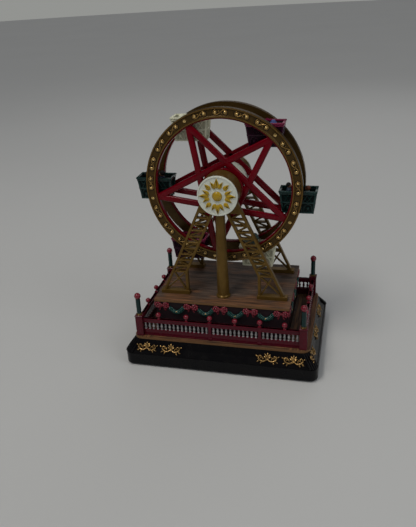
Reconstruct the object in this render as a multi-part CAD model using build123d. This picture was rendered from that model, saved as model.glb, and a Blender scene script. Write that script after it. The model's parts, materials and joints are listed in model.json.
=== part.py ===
from build123d import *
import math
import os

os.makedirs("parts", exist_ok=True)

# A hand-cranked ferris wheel on a decked base. Millimetres, +Z up, the front faces -Y.
# The origin lies on the table under the middle of the base.

# ---------------------------------------------------------------- clearances
run_fit = 0.05        # radial, shaft in its bush
pin_fit = 0.07        # radial, gondola ear on its pin
end_gap = 0.3         # between turning faces
cover_fit = 0.15      # bottom cover in the plinth
tooth_slack = 0.10    # share of the tooth thickness left out as backlash

# ---------------------------------------------------------------- base
foot_r = 5.0
foot_h = 1.5
foot_inset = 11.0
plinth_half_x = 61.8
plinth_half_y = 43.7
plinth_corner_r = 5.0
skirt_h = 7.5
cove_h = 8.4
cove_in = 5.3
plinth_wall = 2.0
cover_t = 1.5
post_r = 3.0
screw_r = 0.9
screw_head_r = 1.9
screw_head_h = 0.9
screw_len = 6.0
screw_gap = 0.6        # from a foot to the nearest screw

deck_t = 1.6
deck_setback = 0.1
riser_half_x = 42.0
riser_half_y = 29.5
riser_h = 22.4
riser_wall = 2.0
deck_overhang = 1.0

# ---------------------------------------------------------------- frieze
bow_pitch = 19.4
bow_inset = 3.2
bow_w = 8.0
bow_up = 2.4
bow_tail = 4.6
bow_drop = 2.9        # knot below the underside of the upper deck
relief_t = 0.8
swag_half_w = 4.6
swag_drop = 5.6       # lowest point below the underside of the upper deck
swag_sag = 2.6
swag_thick = 1.9

# ---------------------------------------------------------------- fence and lamps
fence_inset_x = 4.2
fence_inset_y = 3.5
rail_bottom_h = 4.5
rail_bottom_t = 1.6
baluster_h = 4.9
baluster_pitch = 2.76
baluster_w = 1.6
baluster_neck = 0.8
rail_top_h = 2.8
rail_top_t = 2.2
post_w = 1.8
finial_r = 1.4
finial_neck_r = 0.55
finial_neck_h = 1.6
front_posts = (-0.115, 0.488)
front_finials = (-0.755, -0.405, -0.115, 0.19, 0.488, 0.78)
side_posts = (0.0,)
side_finials = (-0.5, 0.0, 0.5)
rear_finials = (0.48, 0.78)
crank_gate = 7.6      # half the way between the posts beside the crank

pedestal_w = 4.6
pedestal_cap_w = 5.2
pedestal_cap_h = 0.9
pedestal_h = 14.7
collar_r = 1.9
collar_h = 0.8
lamp_tube_r = 1.5
lamp_tube_h = 10.5
lamp_ball_r = 2.0
lamp_ball_sides = 12

# ---------------------------------------------------------------- wheel
axle_rise = 68.0      # axle above the upper deck
rim_r = 48.0
rim_band = 5.8
rim_t = 3.4
rim_lip = 0.8
rim_lip_h = 0.4
hoop_t = 0.9
star_bar = 4.6
star_t = 2.6
star_in = 0.2         # star set in from the inner face of the rim
star_turn = 45.5      # first point of the star above +X
hub_plate_r = 14.3
hub_ring_h = 0.35
spool_r = 12.5
spool_core_r = 10.0
spool_flange = 1.6
axle_r = 1.5

# ---------------------------------------------------------------- gondolas
tub_count = 6
tub_turn = -4.0       # first gondola above +X
tub_w = 23.0
tub_d = 12.4
tub_side_gap = 0.6
tub_lip_h = 2.2
tub_lip_out = 0.8
tub_drop = 13.0       # floor below the pin
tub_taper_w = 1.5
tub_taper_d = 0.9
tub_wall = 0.9
tub_floor = 1.0
tub_corner_r = 1.6
tub_band_h = 1.0
tub_band_out = 0.35
pin_r = 0.65
pin_inset = 3.35      # pin centre in from the outer edge of the rim
pin_in = 1.3          # reach into the gondola's end wall
pin_grip = 2.0        # reach into the rim
rider_x = 5.6
rider_body_r = 2.5
rider_head_r = 1.9
rider_top = 5.0       # top of the head above the pin

# ---------------------------------------------------------------- towers and housings
drum_r = 12.0
drum_wall = 1.4
drum_end = 1.6
drum_len = 12.2
drum_gap = 0.8        # from the rim to the drum
cap_t = 1.1
cap_edge = 0.05
cap_rim_w = 0.8
cap_rim_h = 0.3
cap_spigot = 1.0
boss_r = 3.2
dome_r = 2.8
dome_h = 1.6
petal_h = 0.35
tower_set = 8.2       # mid-plane of the legs beyond the wheel side of the drum
leg_t = 2.8
leg_setback = 3.0
leg_w = 17.7          # across the foot
leg_head_out = 8.9    # outer edge at the height of the axle
leg_head_w = 10.56
chord_w = 1.7
brace_w = 0.9
brace_t = 1.6
rung_pitch = 4.0
foot_panel_h = 15.6
foot_plate_h = 2.4
foot_plate_t = 4.4
foot_plate_out = 0.6
column_foot_r = 3.85
column_head_r = 2.9
column_bore_r = 1.9
column_collar_r = 4.5
column_collar_h = 1.7
bush_wall = 1.1
flange_out = 1.0

# ---------------------------------------------------------------- drive
pressure = math.radians(25)
addendum = 0.8        # in modules
dedendum = 1.05       # in modules
top_module = 0.6
axle_teeth = 30
pinion_teeth = 10
top_face = 2.8
low_module = 0.75
mitre_teeth = 16
low_face = 2.6
web_t = 1.0
gear_hub_r = 2.8
shaft_r = 1.2
crank_rise = 11.0     # crank shaft above the lower deck
crank_shaft_r = 1.5
crank_throw = 16.0
crank_reach = 8.3     # inner face of the arm beyond the edge of the lower deck
arm_w = 5.2
arm_t = 2.5
arm_hub_r = 3.4
arm_hub_h = 1.2
grip_pin_r = 1.2
grip_len = 11.0
grip_r = 3.8
grip_neck_r = 3.0
grip_head_r = 2.4
grip_head_h = 0.7

# ---------------------------------------------------------------- musical movement
music_module = 0.6
crank_pinion_teeth = 12
cylinder_teeth = 28
music_gear_t = 2.0
cylinder_r = 6.2
cylinder_len = 21.0
arbor_r = 1.0
cylinder_pin = 0.45
bedplate_t = 1.2
cheek_t = 2.0
cheek_top = 4.0
cheek_y0 = -6.5
comb_t = 0.8
comb_len = 12.0
comb_tooth_len = 7.0
comb_teeth = 14
comb_slot = 0.5
comb_gap = 0.4
comb_block_w = 6.5

# ---------------------------------------------------------------- derived places
z_plinth = foot_h
z_cove = z_plinth + skirt_h
z_plinth_top = z_cove + cove_h
z_lower = z_plinth_top + deck_t
z_riser_top = z_lower + riser_h
z_upper = z_riser_top + deck_t
z_axle = z_upper + axle_rise
z_crank = z_lower + crank_rise

plinth_top_x = plinth_half_x - cove_in
plinth_top_y = plinth_half_y - cove_in
lower_half_x = plinth_top_x - deck_setback
lower_half_y = plinth_top_y - deck_setback
upper_half_x = riser_half_x + deck_overhang
upper_half_y = riser_half_y + deck_overhang
fence_x = lower_half_x - fence_inset_x
fence_y = lower_half_y - fence_inset_y

rim_y0 = tub_d / 2 + tub_side_gap
rim_y1 = rim_y0 + rim_t
rim_in_r = rim_r - rim_band
star_y0 = rim_y0 + star_in
star_y1 = star_y0 + star_t
drum_y0 = rim_y1 + drum_gap
drum_y1 = drum_y0 + drum_len
drum_in_r = drum_r - drum_wall
cap_y = drum_y1 + cap_t
tower_y = drum_y0 + tower_set
tub_pin_r = rim_r - pin_inset

axle_gear_r = top_module * axle_teeth / 2
pinion_r = top_module * pinion_teeth / 2
mitre_r = low_module * mitre_teeth / 2
crank_y1 = lower_half_y + crank_reach


# ---------------------------------------------------------------- shared forms
def block(x0, x1, y0, y1, z0, z1):
    """A block between two opposite corners."""
    return Pos((x0 + x1) / 2, (y0 + y1) / 2, (z0 + z1) / 2) * Box(x1 - x0, y1 - y0, z1 - z0)


def rod_y(radius, y0, y1, x=0.0, z=0.0):
    """A round bar along Y."""
    bar = Cylinder(radius, y1 - y0, align=(Align.CENTER, Align.CENTER, Align.MIN))
    return Pos(x, y0, z) * Rot(X=-90) * bar


def rod_z(radius, z0, z1, x=0.0, y=0.0):
    """A round bar along Z."""
    bar = Cylinder(radius, z1 - z0, align=(Align.CENTER, Align.CENTER, Align.MIN))
    return Pos(x, y, z0) * bar


def turned_y(points, x=0.0, z=0.0):
    """A piece turned about an axis along Y, from (radius, y) points."""
    return Pos(x, 0, z) * revolve(Polygon(*points, align=None), Axis.Y)


def turned_z(points, x=0.0, y=0.0):
    """A piece turned about an axis along Z, from (radius, z) points."""
    return Pos(x, y, 0) * revolve(Plane.XZ * Polygon(*points, align=None), Axis.Z)


def plate_y(outline, y0, y1):
    """An outline drawn in X and Z, as a plate from y0 to y1."""
    flat = extrude(Plane.XZ * outline, amount=(y1 - y0) / 2, both=True)
    return Pos(0, (y0 + y1) / 2, 0) * flat


def rounded_slab(half_x, half_y, radius, z0, z1):
    """A flat slab with rounded corners."""
    return Pos(0, 0, z0) * extrude(RectangleRounded(2 * half_x, 2 * half_y, radius), z1 - z0)


def spread(half, pitch):
    """Places from -half to half at about the given pitch."""
    steps = max(1, round(2 * half / pitch))
    return [-half + 2 * half * i / steps for i in range(steps + 1)]


def save(name, *solids):
    """Write one sub-part, of one solid or a group of separate solids."""
    shape = solids[0] if len(solids) == 1 else Compound([s.solid() for s in solids])
    export_step(shape, f"parts/{name}.step")


# ---------------------------------------------------------------- gear teeth
def involute(angle):
    return math.tan(angle) - angle


def tooth_half_angle(radius, pitch_radius, teeth):
    """Half the angle of a tooth at a radius; the flank runs straight in below the base circle."""
    base = pitch_radius * math.cos(pressure)
    at = math.acos(base / max(radius, base))
    half = math.pi / (2 * teeth) * (1 - tooth_slack)
    return half + involute(pressure) - involute(at)


def tooth_steps(module):
    """Heights above the pitch line at which a flank is drawn, from root to tip."""
    return (-dedendum * module, 0.0, 0.45 * module, addendum * module)


def toothed_outline(rings, teeth, turn):
    """The outline of a gear from (radius, half angle) steps, a tooth centred on turn."""
    points = []
    for k in range(teeth):
        centre = turn + 2 * math.pi * k / teeth
        flank = [(r, centre - half) for r, half in rings]
        flank += [(r, centre + half) for r, half in reversed(rings)]
        points += [(r * math.cos(a), r * math.sin(a)) for r, a in flank]
    return Polygon(*points, align=None)


def spur_gear(module, teeth, thickness, turn=0.0):
    """A spur gear about Z, from z=0 up."""
    pitch = module * teeth / 2
    rings = [(pitch + h, tooth_half_angle(pitch + h, pitch, teeth)) for h in tooth_steps(module)]
    return extrude(toothed_outline(rings, teeth, turn), thickness)


def bevel_gear(module, teeth, mate_teeth, face, bore, hub_r, hub_z, turn=0.0):
    """A bevel gear about Z, its apex at the origin and its back up.

    The flanks are lines through the apex. The ends of the teeth lie square to the pitch cone.
    """
    pitch = module * teeth / 2
    height = module * mate_teeth / 2
    cone = math.atan2(pitch, height)
    slant = math.hypot(pitch, height)
    back = pitch / math.cos(cone)
    back_teeth = teeth / math.cos(cone)
    rings = []
    for h in tooth_steps(module):
        at = cone + h / slant
        half = (back + h) * tooth_half_angle(back + h, back, back_teeth) / (slant * math.sin(at))
        rings.append((math.tan(at), half))
    inner = 1 - face / slant

    def on_end(h, scale=1.0):
        return (scale * (pitch + h * math.cos(cone)), scale * (height - h * math.sin(cone)))

    over = 1.3 * addendum * module
    under = -1.5 * dedendum * module
    tip, root = on_end(over), on_end(under)
    tip_in, root_in = on_end(over, inner), on_end(under, inner)
    low, high = 0.98 * tip_in[1], 1.02 * root[1]
    ends = [
        Pos(0, 0, z) * toothed_outline([(z * t, a) for t, a in rings], teeth, turn)
        for z in (low, high)
    ]
    teeth_cone = loft(ends, ruled=True)
    blank = turned_z([(bore, root_in[1]), root_in, tip_in, tip, root, (bore, root[1])])
    web = turned_z(
        [
            (bore, root[1]),
            root,
            (root[0], root[1] + web_t),
            (hub_r, root[1] + web_t),
            (hub_r, hub_z),
            (bore, hub_z),
        ]
    )
    return (blank & teeth_cone) + web


# ---------------------------------------------------------------- plinth and bottom
def plinth_section(half_x, half_y, radius, z):
    return Pos(0, 0, z) * RectangleRounded(2 * half_x, 2 * half_y, radius)


cove_mid = 0.62
plinth_body = rounded_slab(plinth_half_x, plinth_half_y, plinth_corner_r, z_plinth, z_cove)
plinth_body += loft(
    [
        plinth_section(plinth_half_x - 0.8, plinth_half_y - 0.8, plinth_corner_r, z_cove),
        plinth_section(
            plinth_half_x - cove_mid * cove_in,
            plinth_half_y - cove_mid * cove_in,
            plinth_corner_r,
            z_cove + cove_h * 0.45,
        ),
        plinth_section(plinth_top_x, plinth_top_y, plinth_corner_r, z_plinth_top),
    ],
    ruled=True,
)
hollow_x = plinth_half_x - plinth_wall
hollow_y = plinth_half_y - plinth_wall
plinth_body -= loft(
    [
        plinth_section(hollow_x, hollow_y, plinth_corner_r - plinth_wall, z_plinth),
        plinth_section(hollow_x, hollow_y, plinth_corner_r - plinth_wall, z_cove - plinth_wall / 2),
        plinth_section(
            plinth_top_x - plinth_wall,
            plinth_top_y - plinth_wall,
            plinth_corner_r - plinth_wall,
            z_plinth_top - plinth_wall,
        ),
    ],
    ruled=True,
)
foot_places = [
    (sx * (plinth_half_x - foot_inset), sy * (plinth_half_y - foot_inset))
    for sx in (-1, 1)
    for sy in (-1, 1)
]
screw_shift = foot_r + screw_head_r + screw_gap
post_places = [(x - math.copysign(screw_shift, x), y) for x, y in foot_places]
z_cover_top = z_plinth + cover_t
for px, py in post_places:
    plinth_body += rod_z(post_r, z_cover_top, z_plinth_top - plinth_wall / 2, px, py)
    plinth_body -= rod_z(screw_r, z_cover_top, z_cover_top + screw_len, px, py)
save("plinth", plinth_body)

bottom_cover = rounded_slab(
    hollow_x - cover_fit,
    hollow_y - cover_fit,
    plinth_corner_r - plinth_wall - cover_fit,
    z_plinth,
    z_cover_top,
)
# The screws stand inboard of the feet, with their heads sunk in the cover.
for px, py in post_places:
    bottom_cover -= rod_z(screw_r, z_plinth, z_cover_top, px, py)
    bottom_cover -= rod_z(screw_head_r, z_plinth, z_plinth + screw_head_h, px, py)
save("bottom_cover", bottom_cover)

screws = []
for px, py in post_places:
    screw = rod_z(screw_head_r, z_plinth, z_plinth + screw_head_h, px, py)
    screw += rod_z(screw_r, z_plinth + screw_head_h, z_cover_top + screw_len, px, py)
    screws.append(screw)
save("cover_screws", *screws)

# A pad at each corner, and one in the middle that carries the thin cover.
feet = [
    turned_z(
        [(0, 0), (foot_r - 0.4, 0), (foot_r, foot_h * 0.5), (foot_r, foot_h), (0, foot_h)], x, y
    )
    for x, y in foot_places + [(0, 0)]
]
save("feet", *feet)

# ---------------------------------------------------------------- decks and riser
lower_deck = block(-lower_half_x, lower_half_x, -lower_half_y, lower_half_y, z_plinth_top, z_lower)
lower_deck = fillet(lower_deck.edges().filter_by(Axis.Z), plinth_corner_r - deck_setback)
save("lower_deck", lower_deck)

crank_bush_r = crank_shaft_r + bush_wall
riser = block(-riser_half_x, riser_half_x, -riser_half_y, riser_half_y, z_lower, z_riser_top)
riser -= block(
    riser_wall - riser_half_x,
    riser_half_x - riser_wall,
    riser_wall - riser_half_y,
    riser_half_y - riser_wall,
    z_lower,
    z_riser_top,
)
riser -= rod_y(crank_bush_r, riser_half_y - riser_wall, riser_half_y, z=z_crank)
save("deck_riser", riser)

shaft_bush_r = shaft_r + bush_wall
upper_deck = block(-upper_half_x, upper_half_x, -upper_half_y, upper_half_y, z_riser_top, z_upper)
upper_deck -= rod_z(shaft_bush_r, z_riser_top, z_upper, 0, -tower_y)
save("upper_deck", upper_deck)


# ---------------------------------------------------------------- frieze
def bow_outline():
    """A tied ribbon: two loops, a knot and two tails, its knot at the origin."""
    half = bow_w / 2
    loop = Polygon(
        (0.3, -0.5),
        (0.3, 0.5),
        (half * 0.55, bow_up),
        (half * 0.9, bow_up * 0.85),
        (half, 0.0),
        (half * 0.8, -bow_up * 0.5),
        (half * 0.4, -bow_up * 0.35),
        align=None,
    )
    eye = Polygon(
        (half * 0.42, bow_up * 0.2),
        (half * 0.66, bow_up * 0.55),
        (half * 0.8, bow_up * 0.3),
        (half * 0.68, -bow_up * 0.1),
        align=None,
    )
    tail = Polygon(
        (-0.1, 0.2),
        (0.9, -0.2),
        (half * 0.72, -bow_tail * 0.9),
        (half * 0.45, -bow_tail * 0.82),
        (half * 0.3, -bow_tail),
        align=None,
    )
    side = loop - eye + tail
    return side + mirror(side, about=Plane.YZ) + RegularPolygon(1.0, 8)


def swag_outline():
    """A hanging garland: a crescent whose ends point up."""
    low = ThreePointArc((-swag_half_w, swag_sag), (0, 0), (swag_half_w, swag_sag))
    tip = (swag_half_w - 0.9, swag_sag + 0.35)
    high = ThreePointArc(tip, (0, swag_thick), (-tip[0], tip[1]))
    ends = Line(low @ 1, high @ 0) + Line(high @ 1, low @ 0)
    return make_face(low + high + ends)


def on_wall(outline, along, height, turn, reach):
    """A relief on the wall that faces -Y after turning by turn about Z."""
    relief = plate_y(Pos(along, height) * outline, -relief_t, 0)
    return Rot(Z=turn) * (Pos(0, -reach, 0) * relief)


bow_shape = bow_outline()
swag_shape = swag_outline()
z_bow = z_riser_top - bow_drop
z_swag = z_riser_top - swag_drop - swag_thick / 2
bows = []
swags = []
for turn, half, reach in (
    (0, riser_half_x, riser_half_y),
    (90, riser_half_y, riser_half_x),
    (180, riser_half_x, riser_half_y),
    (270, riser_half_y, riser_half_x),
):
    places = spread(half - bow_inset - relief_t, bow_pitch)
    bows += [on_wall(bow_shape, x, z_bow, turn, reach) for x in places]
    swags += [
        on_wall(swag_shape, (a + b) / 2, z_swag, turn, reach) for a, b in zip(places, places[1:])
    ]
save("frieze_bows", *bows)
save("frieze_swags", *swags)

# ---------------------------------------------------------------- fence
z_rail = z_lower + rail_bottom_h
z_top_rail = z_rail + baluster_h
z_fence = z_top_rail + rail_top_h
z_finial = z_fence + finial_neck_h + finial_r


def rail_run(x0, x1):
    """The deep bottom rail and the moulded top rail of one run along X."""
    t = rail_bottom_t / 2
    low = Polygon(
        (-t - 0.25, z_lower),
        (t + 0.25, z_lower),
        (t + 0.25, z_lower + 1.0),
        (t, z_lower + 1.2),
        (t, z_rail - 0.5),
        (t + 0.25, z_rail - 0.3),
        (t + 0.25, z_rail),
        (-t - 0.25, z_rail),
        (-t - 0.25, z_rail - 0.3),
        (-t, z_rail - 0.5),
        (-t, z_lower + 1.2),
        (-t - 0.25, z_lower + 1.0),
        align=None,
    )
    w = rail_top_t / 2
    high = Polygon(
        (-w * 0.7, z_top_rail),
        (w * 0.7, z_top_rail),
        (w, z_top_rail + 0.5),
        (w, z_fence - 0.7),
        (w * 0.55, z_fence),
        (-w * 0.55, z_fence),
        (-w, z_fence - 0.7),
        (-w, z_top_rail + 0.5),
        align=None,
    )
    both = extrude(Plane.YZ * (low + high), x1 - x0)
    return Pos(x0, 0, 0) * both


def fence_post(x):
    half = post_w / 2
    return block(x - half, x + half, -half, half, z_lower, z_fence)


def faceted_turning(steps, sides, x=0.0):
    """A small turned form along Z with flat sides, from (z, radius) steps."""
    return loft([Pos(x, 0, z) * RegularPolygon(r, sides) for z, r in steps], ruled=True)


def finial(x):
    """A ball on a neck."""
    r = finial_r
    steps = (
        (z_fence - 0.3, 0.9),
        (z_fence + 0.3, 0.9),
        (z_fence + 0.7, finial_neck_r),
        (z_finial - r * 0.9, finial_neck_r),
        (z_finial - r * 0.5, r * 0.87),
        (z_finial, r),
        (z_finial + r * 0.5, r * 0.87),
        (z_finial + r * 0.92, r * 0.35),
    )
    return faceted_turning(steps, 8, x)


def baluster(x):
    """A turned baluster, four-sided, fullest below its middle."""
    z0, z1 = z_rail, z_top_rail
    steps = (
        (z0, baluster_neck),
        (z0 + baluster_h * 0.4, baluster_w),
        (z1, baluster_neck),
    )
    forms = [Pos(x, 0, z) * Rectangle(w, w) for z, w in steps]
    return loft(forms, ruled=True)


def baluster_bay(x0, x1):
    """Balusters evenly between two supports."""
    count = max(1, round((x1 - x0) / baluster_pitch))
    step = (x1 - x0) / count
    return [baluster(x0 + (i + 0.5) * step) for i in range(count)]


def fence_run(x0, x1, posts, finials):
    """One run between two supports: the rails with their posts, and the balusters."""
    frame = rail_run(x0, x1)
    for x in posts:
        frame += fence_post(x)
    for x in finials:
        frame += finial(x)
    half = post_w / 2
    stops = [x0] + [s for x in posts for s in (x - half, x + half)] + [x1]
    bays = zip(stops[0::2], stops[1::2])
    uprights = [b for a, c in bays if c - a > baluster_pitch for b in baluster_bay(a, c)]
    return frame, uprights


run_x = fence_x - pedestal_w / 2
run_y = fence_y - pedestal_w / 2
front_run, front_bars = fence_run(
    -run_x, run_x, [s * fence_x for s in front_posts], [s * fence_x for s in front_finials]
)
side_run, side_bars = fence_run(
    -run_y, run_y, [s * fence_y for s in side_posts], [s * fence_y for s in side_finials]
)
# At the back the fence opens for the crank shaft, between two end posts.
gate_post = crank_gate + post_w / 2
rear_run, rear_bars = fence_run(
    crank_gate, run_x, [gate_post], [gate_post] + [s * fence_x for s in rear_finials]
)

front_place = Pos(0, -fence_y, 0)
side_places = (Pos(fence_x, 0, 0) * Rot(Z=90), Pos(-fence_x, 0, 0) * Rot(Z=-90))
rear_places = (Pos(0, fence_y, 0), Pos(0, fence_y, 0) * Rot(Z=180))
save("front_fence", front_place * front_run)
save("side_fences", *[p * side_run for p in side_places])
save("rear_fence", *[p * rear_run for p in rear_places])
balusters = [front_place * b for b in front_bars]
balusters += [p * b for p in side_places for b in side_bars]
balusters += [p * b for p in rear_places for b in rear_bars]
save("fence_balusters", *balusters)

# ---------------------------------------------------------------- lamp posts
z_pedestal = z_lower + pedestal_h
z_tube = z_pedestal + collar_h
z_lamp = z_tube + lamp_tube_h
corners = [(sx * fence_x, sy * fence_y) for sx in (-1, 1) for sy in (-1, 1)]


def pedestal(x, y):
    """A square post with a moulded foot and a cap that steps out above the fence."""
    foot = extrude(Rectangle(pedestal_w, pedestal_w), pedestal_h)
    cap = extrude(Rectangle(pedestal_cap_w, pedestal_cap_w), pedestal_cap_h)
    cap = chamfer(cap.edges().group_by(Axis.Z)[-1], pedestal_cap_h * 0.45)
    return Pos(x, y, z_lower) * (foot + Pos(0, 0, pedestal_h - pedestal_cap_h) * cap)


def lamp_ball(x, y):
    """A ball with flat sides, seated on the end of its tube."""
    rise = lamp_ball_r * 0.9
    steps = [(z_lamp, lamp_ball_r * 0.44)]
    for angle in (-40, -14, 14, 40):
        height = z_lamp + rise + lamp_ball_r * math.sin(math.radians(angle))
        steps.append((height, lamp_ball_r * math.cos(math.radians(angle))))
    steps.append((z_lamp + rise + lamp_ball_r, lamp_ball_r * 0.3))
    return Pos(0, y, 0) * faceted_turning(steps, lamp_ball_sides, x)


save("lamp_pedestals", *[pedestal(x, y) for x, y in corners])
save("lamp_collars", *[rod_z(collar_r, z_pedestal, z_tube, x, y) for x, y in corners])
save("lamp_tubes", *[rod_z(lamp_tube_r, z_tube, z_lamp, x, y) for x, y in corners])
save("lamp_balls", *[lamp_ball(x, y) for x, y in corners])

# ---------------------------------------------------------------- lattice legs
leg_foot_out = upper_half_x - leg_setback
leg_foot_in = leg_foot_out - leg_w
leg_lean = (leg_foot_out - leg_head_out) / axle_rise
leg_head_in = leg_head_out - leg_head_w
z_knee = z_upper + foot_panel_h
z_lattice = z_axle - drum_r + 0.5


def leg_out(z):
    return leg_foot_out - leg_lean * (z - z_upper)


def leg_in(z):
    slope = (leg_foot_in - leg_head_in) / (z_axle - z_knee)
    return leg_foot_in - slope * max(0.0, z - z_knee)


def bar(start, end, width):
    """A flat bar between two points in X and Z."""
    dx, dz = end[0] - start[0], end[1] - start[1]
    turn = math.degrees(math.atan2(dz, dx))
    middle = Pos((start[0] + end[0]) / 2, (start[1] + end[1]) / 2)
    return middle * Rot(Z=turn) * Rectangle(math.hypot(dx, dz), width)


def leg_bays():
    """The open bays as (bottom, top), the braced foot panel first."""
    bays = [(z_upper + foot_plate_h, z_knee - brace_w / 2)]
    count = max(1, round((z_lattice - z_knee) / rung_pitch))
    step = (z_lattice - z_knee) / count
    for i in range(count):
        bays.append((z_knee + i * step + brace_w / 2, z_knee + (i + 1) * step - brace_w / 2))
    return bays


def lattice_leg():
    """The right-hand leg, drawn in X and Z: two chords, rungs, and crossing or slanting braces."""
    outline = Polygon(
        (leg_foot_in, z_upper),
        (leg_foot_out, z_upper),
        (leg_out(z_axle), z_axle),
        (leg_in(z_axle), z_axle),
        (leg_foot_in, z_knee),
        align=None,
    )
    windows = Sketch()
    braces = Sketch()
    for i, (z0, z1) in enumerate(leg_bays()):
        low_in, low_out = (leg_in(z0) + chord_w, z0), (leg_out(z0) - chord_w, z0)
        high_in, high_out = (leg_in(z1) + chord_w, z1), (leg_out(z1) - chord_w, z1)
        windows += Polygon(low_in, low_out, high_out, high_in, align=None)
        if i % 2 == 0:
            braces += bar(low_in, high_out, brace_w)
        if i % 2 == 1 or i == 0:
            braces += bar(low_out, high_in, brace_w)
    frame = plate_y(outline - windows, -leg_t / 2, leg_t / 2)
    web = plate_y(braces, -brace_t / 2, brace_t / 2)
    plate = block(
        leg_foot_in - foot_plate_out,
        leg_foot_out + foot_plate_out,
        -foot_plate_t / 2,
        foot_plate_t / 2,
        z_upper,
        z_upper + foot_plate_h,
    )
    return frame + web + plate


drum_space = rod_y(drum_r, -1e3, 1e3, z=z_axle)
leg = lattice_leg() - drum_space
left_leg = mirror(leg, about=Plane.YZ)
save("front_right_leg", Pos(0, -tower_y, 0) * leg)
save("front_left_leg", Pos(0, -tower_y, 0) * left_leg)
save("rear_right_leg", Pos(0, tower_y, 0) * leg)
save("rear_left_leg", Pos(0, tower_y, 0) * left_leg)

# ---------------------------------------------------------------- front column
z_collar = z_upper + column_collar_h
collar = turned_z(
    [
        (column_bore_r, z_upper),
        (column_collar_r, z_upper),
        (column_collar_r, z_upper + column_collar_h * 0.55),
        (column_foot_r, z_collar),
        (column_bore_r, z_collar),
    ],
    0,
    -tower_y,
)
save("column_collar", collar)

column = turned_z(
    [
        (column_bore_r, z_collar),
        (column_foot_r, z_collar),
        (column_head_r, z_axle - drum_r),
        (column_head_r, z_axle),
        (column_bore_r, z_axle),
    ],
    0,
    -tower_y,
)
save("front_column", column - drum_space)

# ---------------------------------------------------------------- housings at the hub
axle_bush_r = axle_r + bush_wall


def drum():
    """A cup open away from the wheel, drawn on the +Y side, its floor bored for the axle bush."""
    return turned_y(
        [
            (axle_bush_r, drum_y0),
            (drum_r - 0.5, drum_y0),
            (drum_r, drum_y0 + 0.5),
            (drum_r, drum_y1),
            (drum_in_r, drum_y1),
            (drum_in_r, drum_y0 + drum_end),
            (axle_bush_r, drum_y0 + drum_end),
        ],
        z=z_axle,
    )


def hub_cap():
    """A disc with a raised rim, a spigot in the drum, and a bored boss that holds the axle end."""
    edge = drum_r + cap_edge
    spigot_r = drum_in_r - cover_fit
    boss_y = drum_y1 - boss_len
    return turned_y(
        [
            (0, cap_y),
            (edge - cap_rim_w, cap_y),
            (edge - cap_rim_w, cap_y + cap_rim_h),
            (edge - 0.2, cap_y + cap_rim_h),
            (edge, cap_y + cap_rim_h - 0.2),
            (edge, drum_y1),
            (spigot_r, drum_y1),
            (spigot_r, drum_y1 - cap_spigot),
            (spigot_r - 0.9, drum_y1 - cap_spigot),
            (spigot_r - 0.9, drum_y1),
            (boss_r, drum_y1),
            (boss_r, boss_y),
            (axle_r + run_fit, boss_y),
            (axle_r + run_fit, axle_end + end_gap),
            (0, axle_end + end_gap),
        ],
        z=z_axle,
    )


boss_len = 2.9
axle_end = drum_y1 - 0.7
rear_drum = drum()
front_drum = mirror(rear_drum, about=Plane.XZ)
front_drum -= rod_z(column_bore_r, z_axle - drum_r - 1, z_axle - drum_in_r + 1, 0, -tower_y)
rear_cap = hub_cap()
save("rear_bearing_housing", rear_drum)
save("front_gear_housing", front_drum)
save("rear_hub_cap", rear_cap)
save("front_hub_cap", mirror(rear_cap, about=Plane.XZ))


def leaf(near, far, width):
    """A pointed leaf along X between two arcs."""
    middle = (near + far) / 2
    side = ThreePointArc((near, 0), (middle, width / 2), (far, 0))
    other = ThreePointArc((far, 0), (middle, -width / 2), (near, 0))
    return make_face(side + other)


petals = []
for k in range(4):
    for offset, near, far, width in (
        (0, 0.53, 0.9, 1.9),
        (17, 0.46, 0.84, 1.5),
        (-17, 0.46, 0.84, 1.5),
        (45, 0.46, 0.8, 1.8),
    ):
        petals.append(Rot(Z=90 * k + offset) * leaf(near * drum_r, far * drum_r, width))
ornament = [Pos(0, 0, z_axle) * plate_y(p, -cap_y - petal_h, -cap_y) for p in petals]
dome = turned_y(
    [
        (0, -cap_y),
        (dome_r, -cap_y),
        (dome_r, -cap_y - dome_h * 0.3),
        (dome_r * 0.8, -cap_y - dome_h * 0.75),
        (dome_r * 0.4, -cap_y - dome_h),
        (0, -cap_y - dome_h),
    ],
    z=z_axle,
)
save("hub_ornament", *ornament, dome)

# ---------------------------------------------------------------- wheel
axle = rod_y(axle_r, -axle_end, axle_end, z=z_axle)
save("axle", axle)

tub_angles = [math.radians(tub_turn + 360 * k / tub_count) for k in range(tub_count)]
tub_pins = [(tub_pin_r * math.cos(a), z_axle + tub_pin_r * math.sin(a)) for a in tub_angles]


def rim():
    """The +Y rim: a flat band with a raised lip at each edge, bored blind for the pins."""
    face = rim_y1 - rim_lip_h
    ring = turned_y(
        [
            (rim_in_r, rim_y0),
            (rim_r, rim_y0),
            (rim_r, rim_y1),
            (rim_r - rim_lip, rim_y1),
            (rim_r - rim_lip - rim_lip_h, face),
            (rim_in_r + rim_lip + rim_lip_h, face),
            (rim_in_r + rim_lip, rim_y1),
            (rim_in_r, rim_y1),
        ],
        z=z_axle,
    )
    for x, z in tub_pins:
        ring -= rod_y(pin_r, rim_y0, rim_y0 + pin_grip, x, z)
    return ring


def star():
    """The +Y star: five crossing bars, a hub plate with a raised ring, and a hoop in the rim."""
    point_r = rim_in_r - hoop_t / 2
    mid = point_r * math.cos(math.radians(72))
    half = point_r * math.sin(math.radians(72))
    bars = Sketch()
    for k in range(5):
        bars += Rot(Z=star_turn + 72 * k) * Pos(mid, 0) * Rectangle(star_bar, 2 * half)
    bars = bars & Circle(point_r)
    outline = bars + Circle(hub_plate_r) + (Circle(rim_in_r) - Circle(rim_in_r - hoop_t))
    casting = plate_y(outline - Circle(axle_r), star_y0, star_y1)
    ring = plate_y(Circle(hub_plate_r) - Circle(hub_plate_r - 1.4), star_y1, star_y1 + hub_ring_h)
    return Pos(0, 0, z_axle) * (casting + ring)


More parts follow.
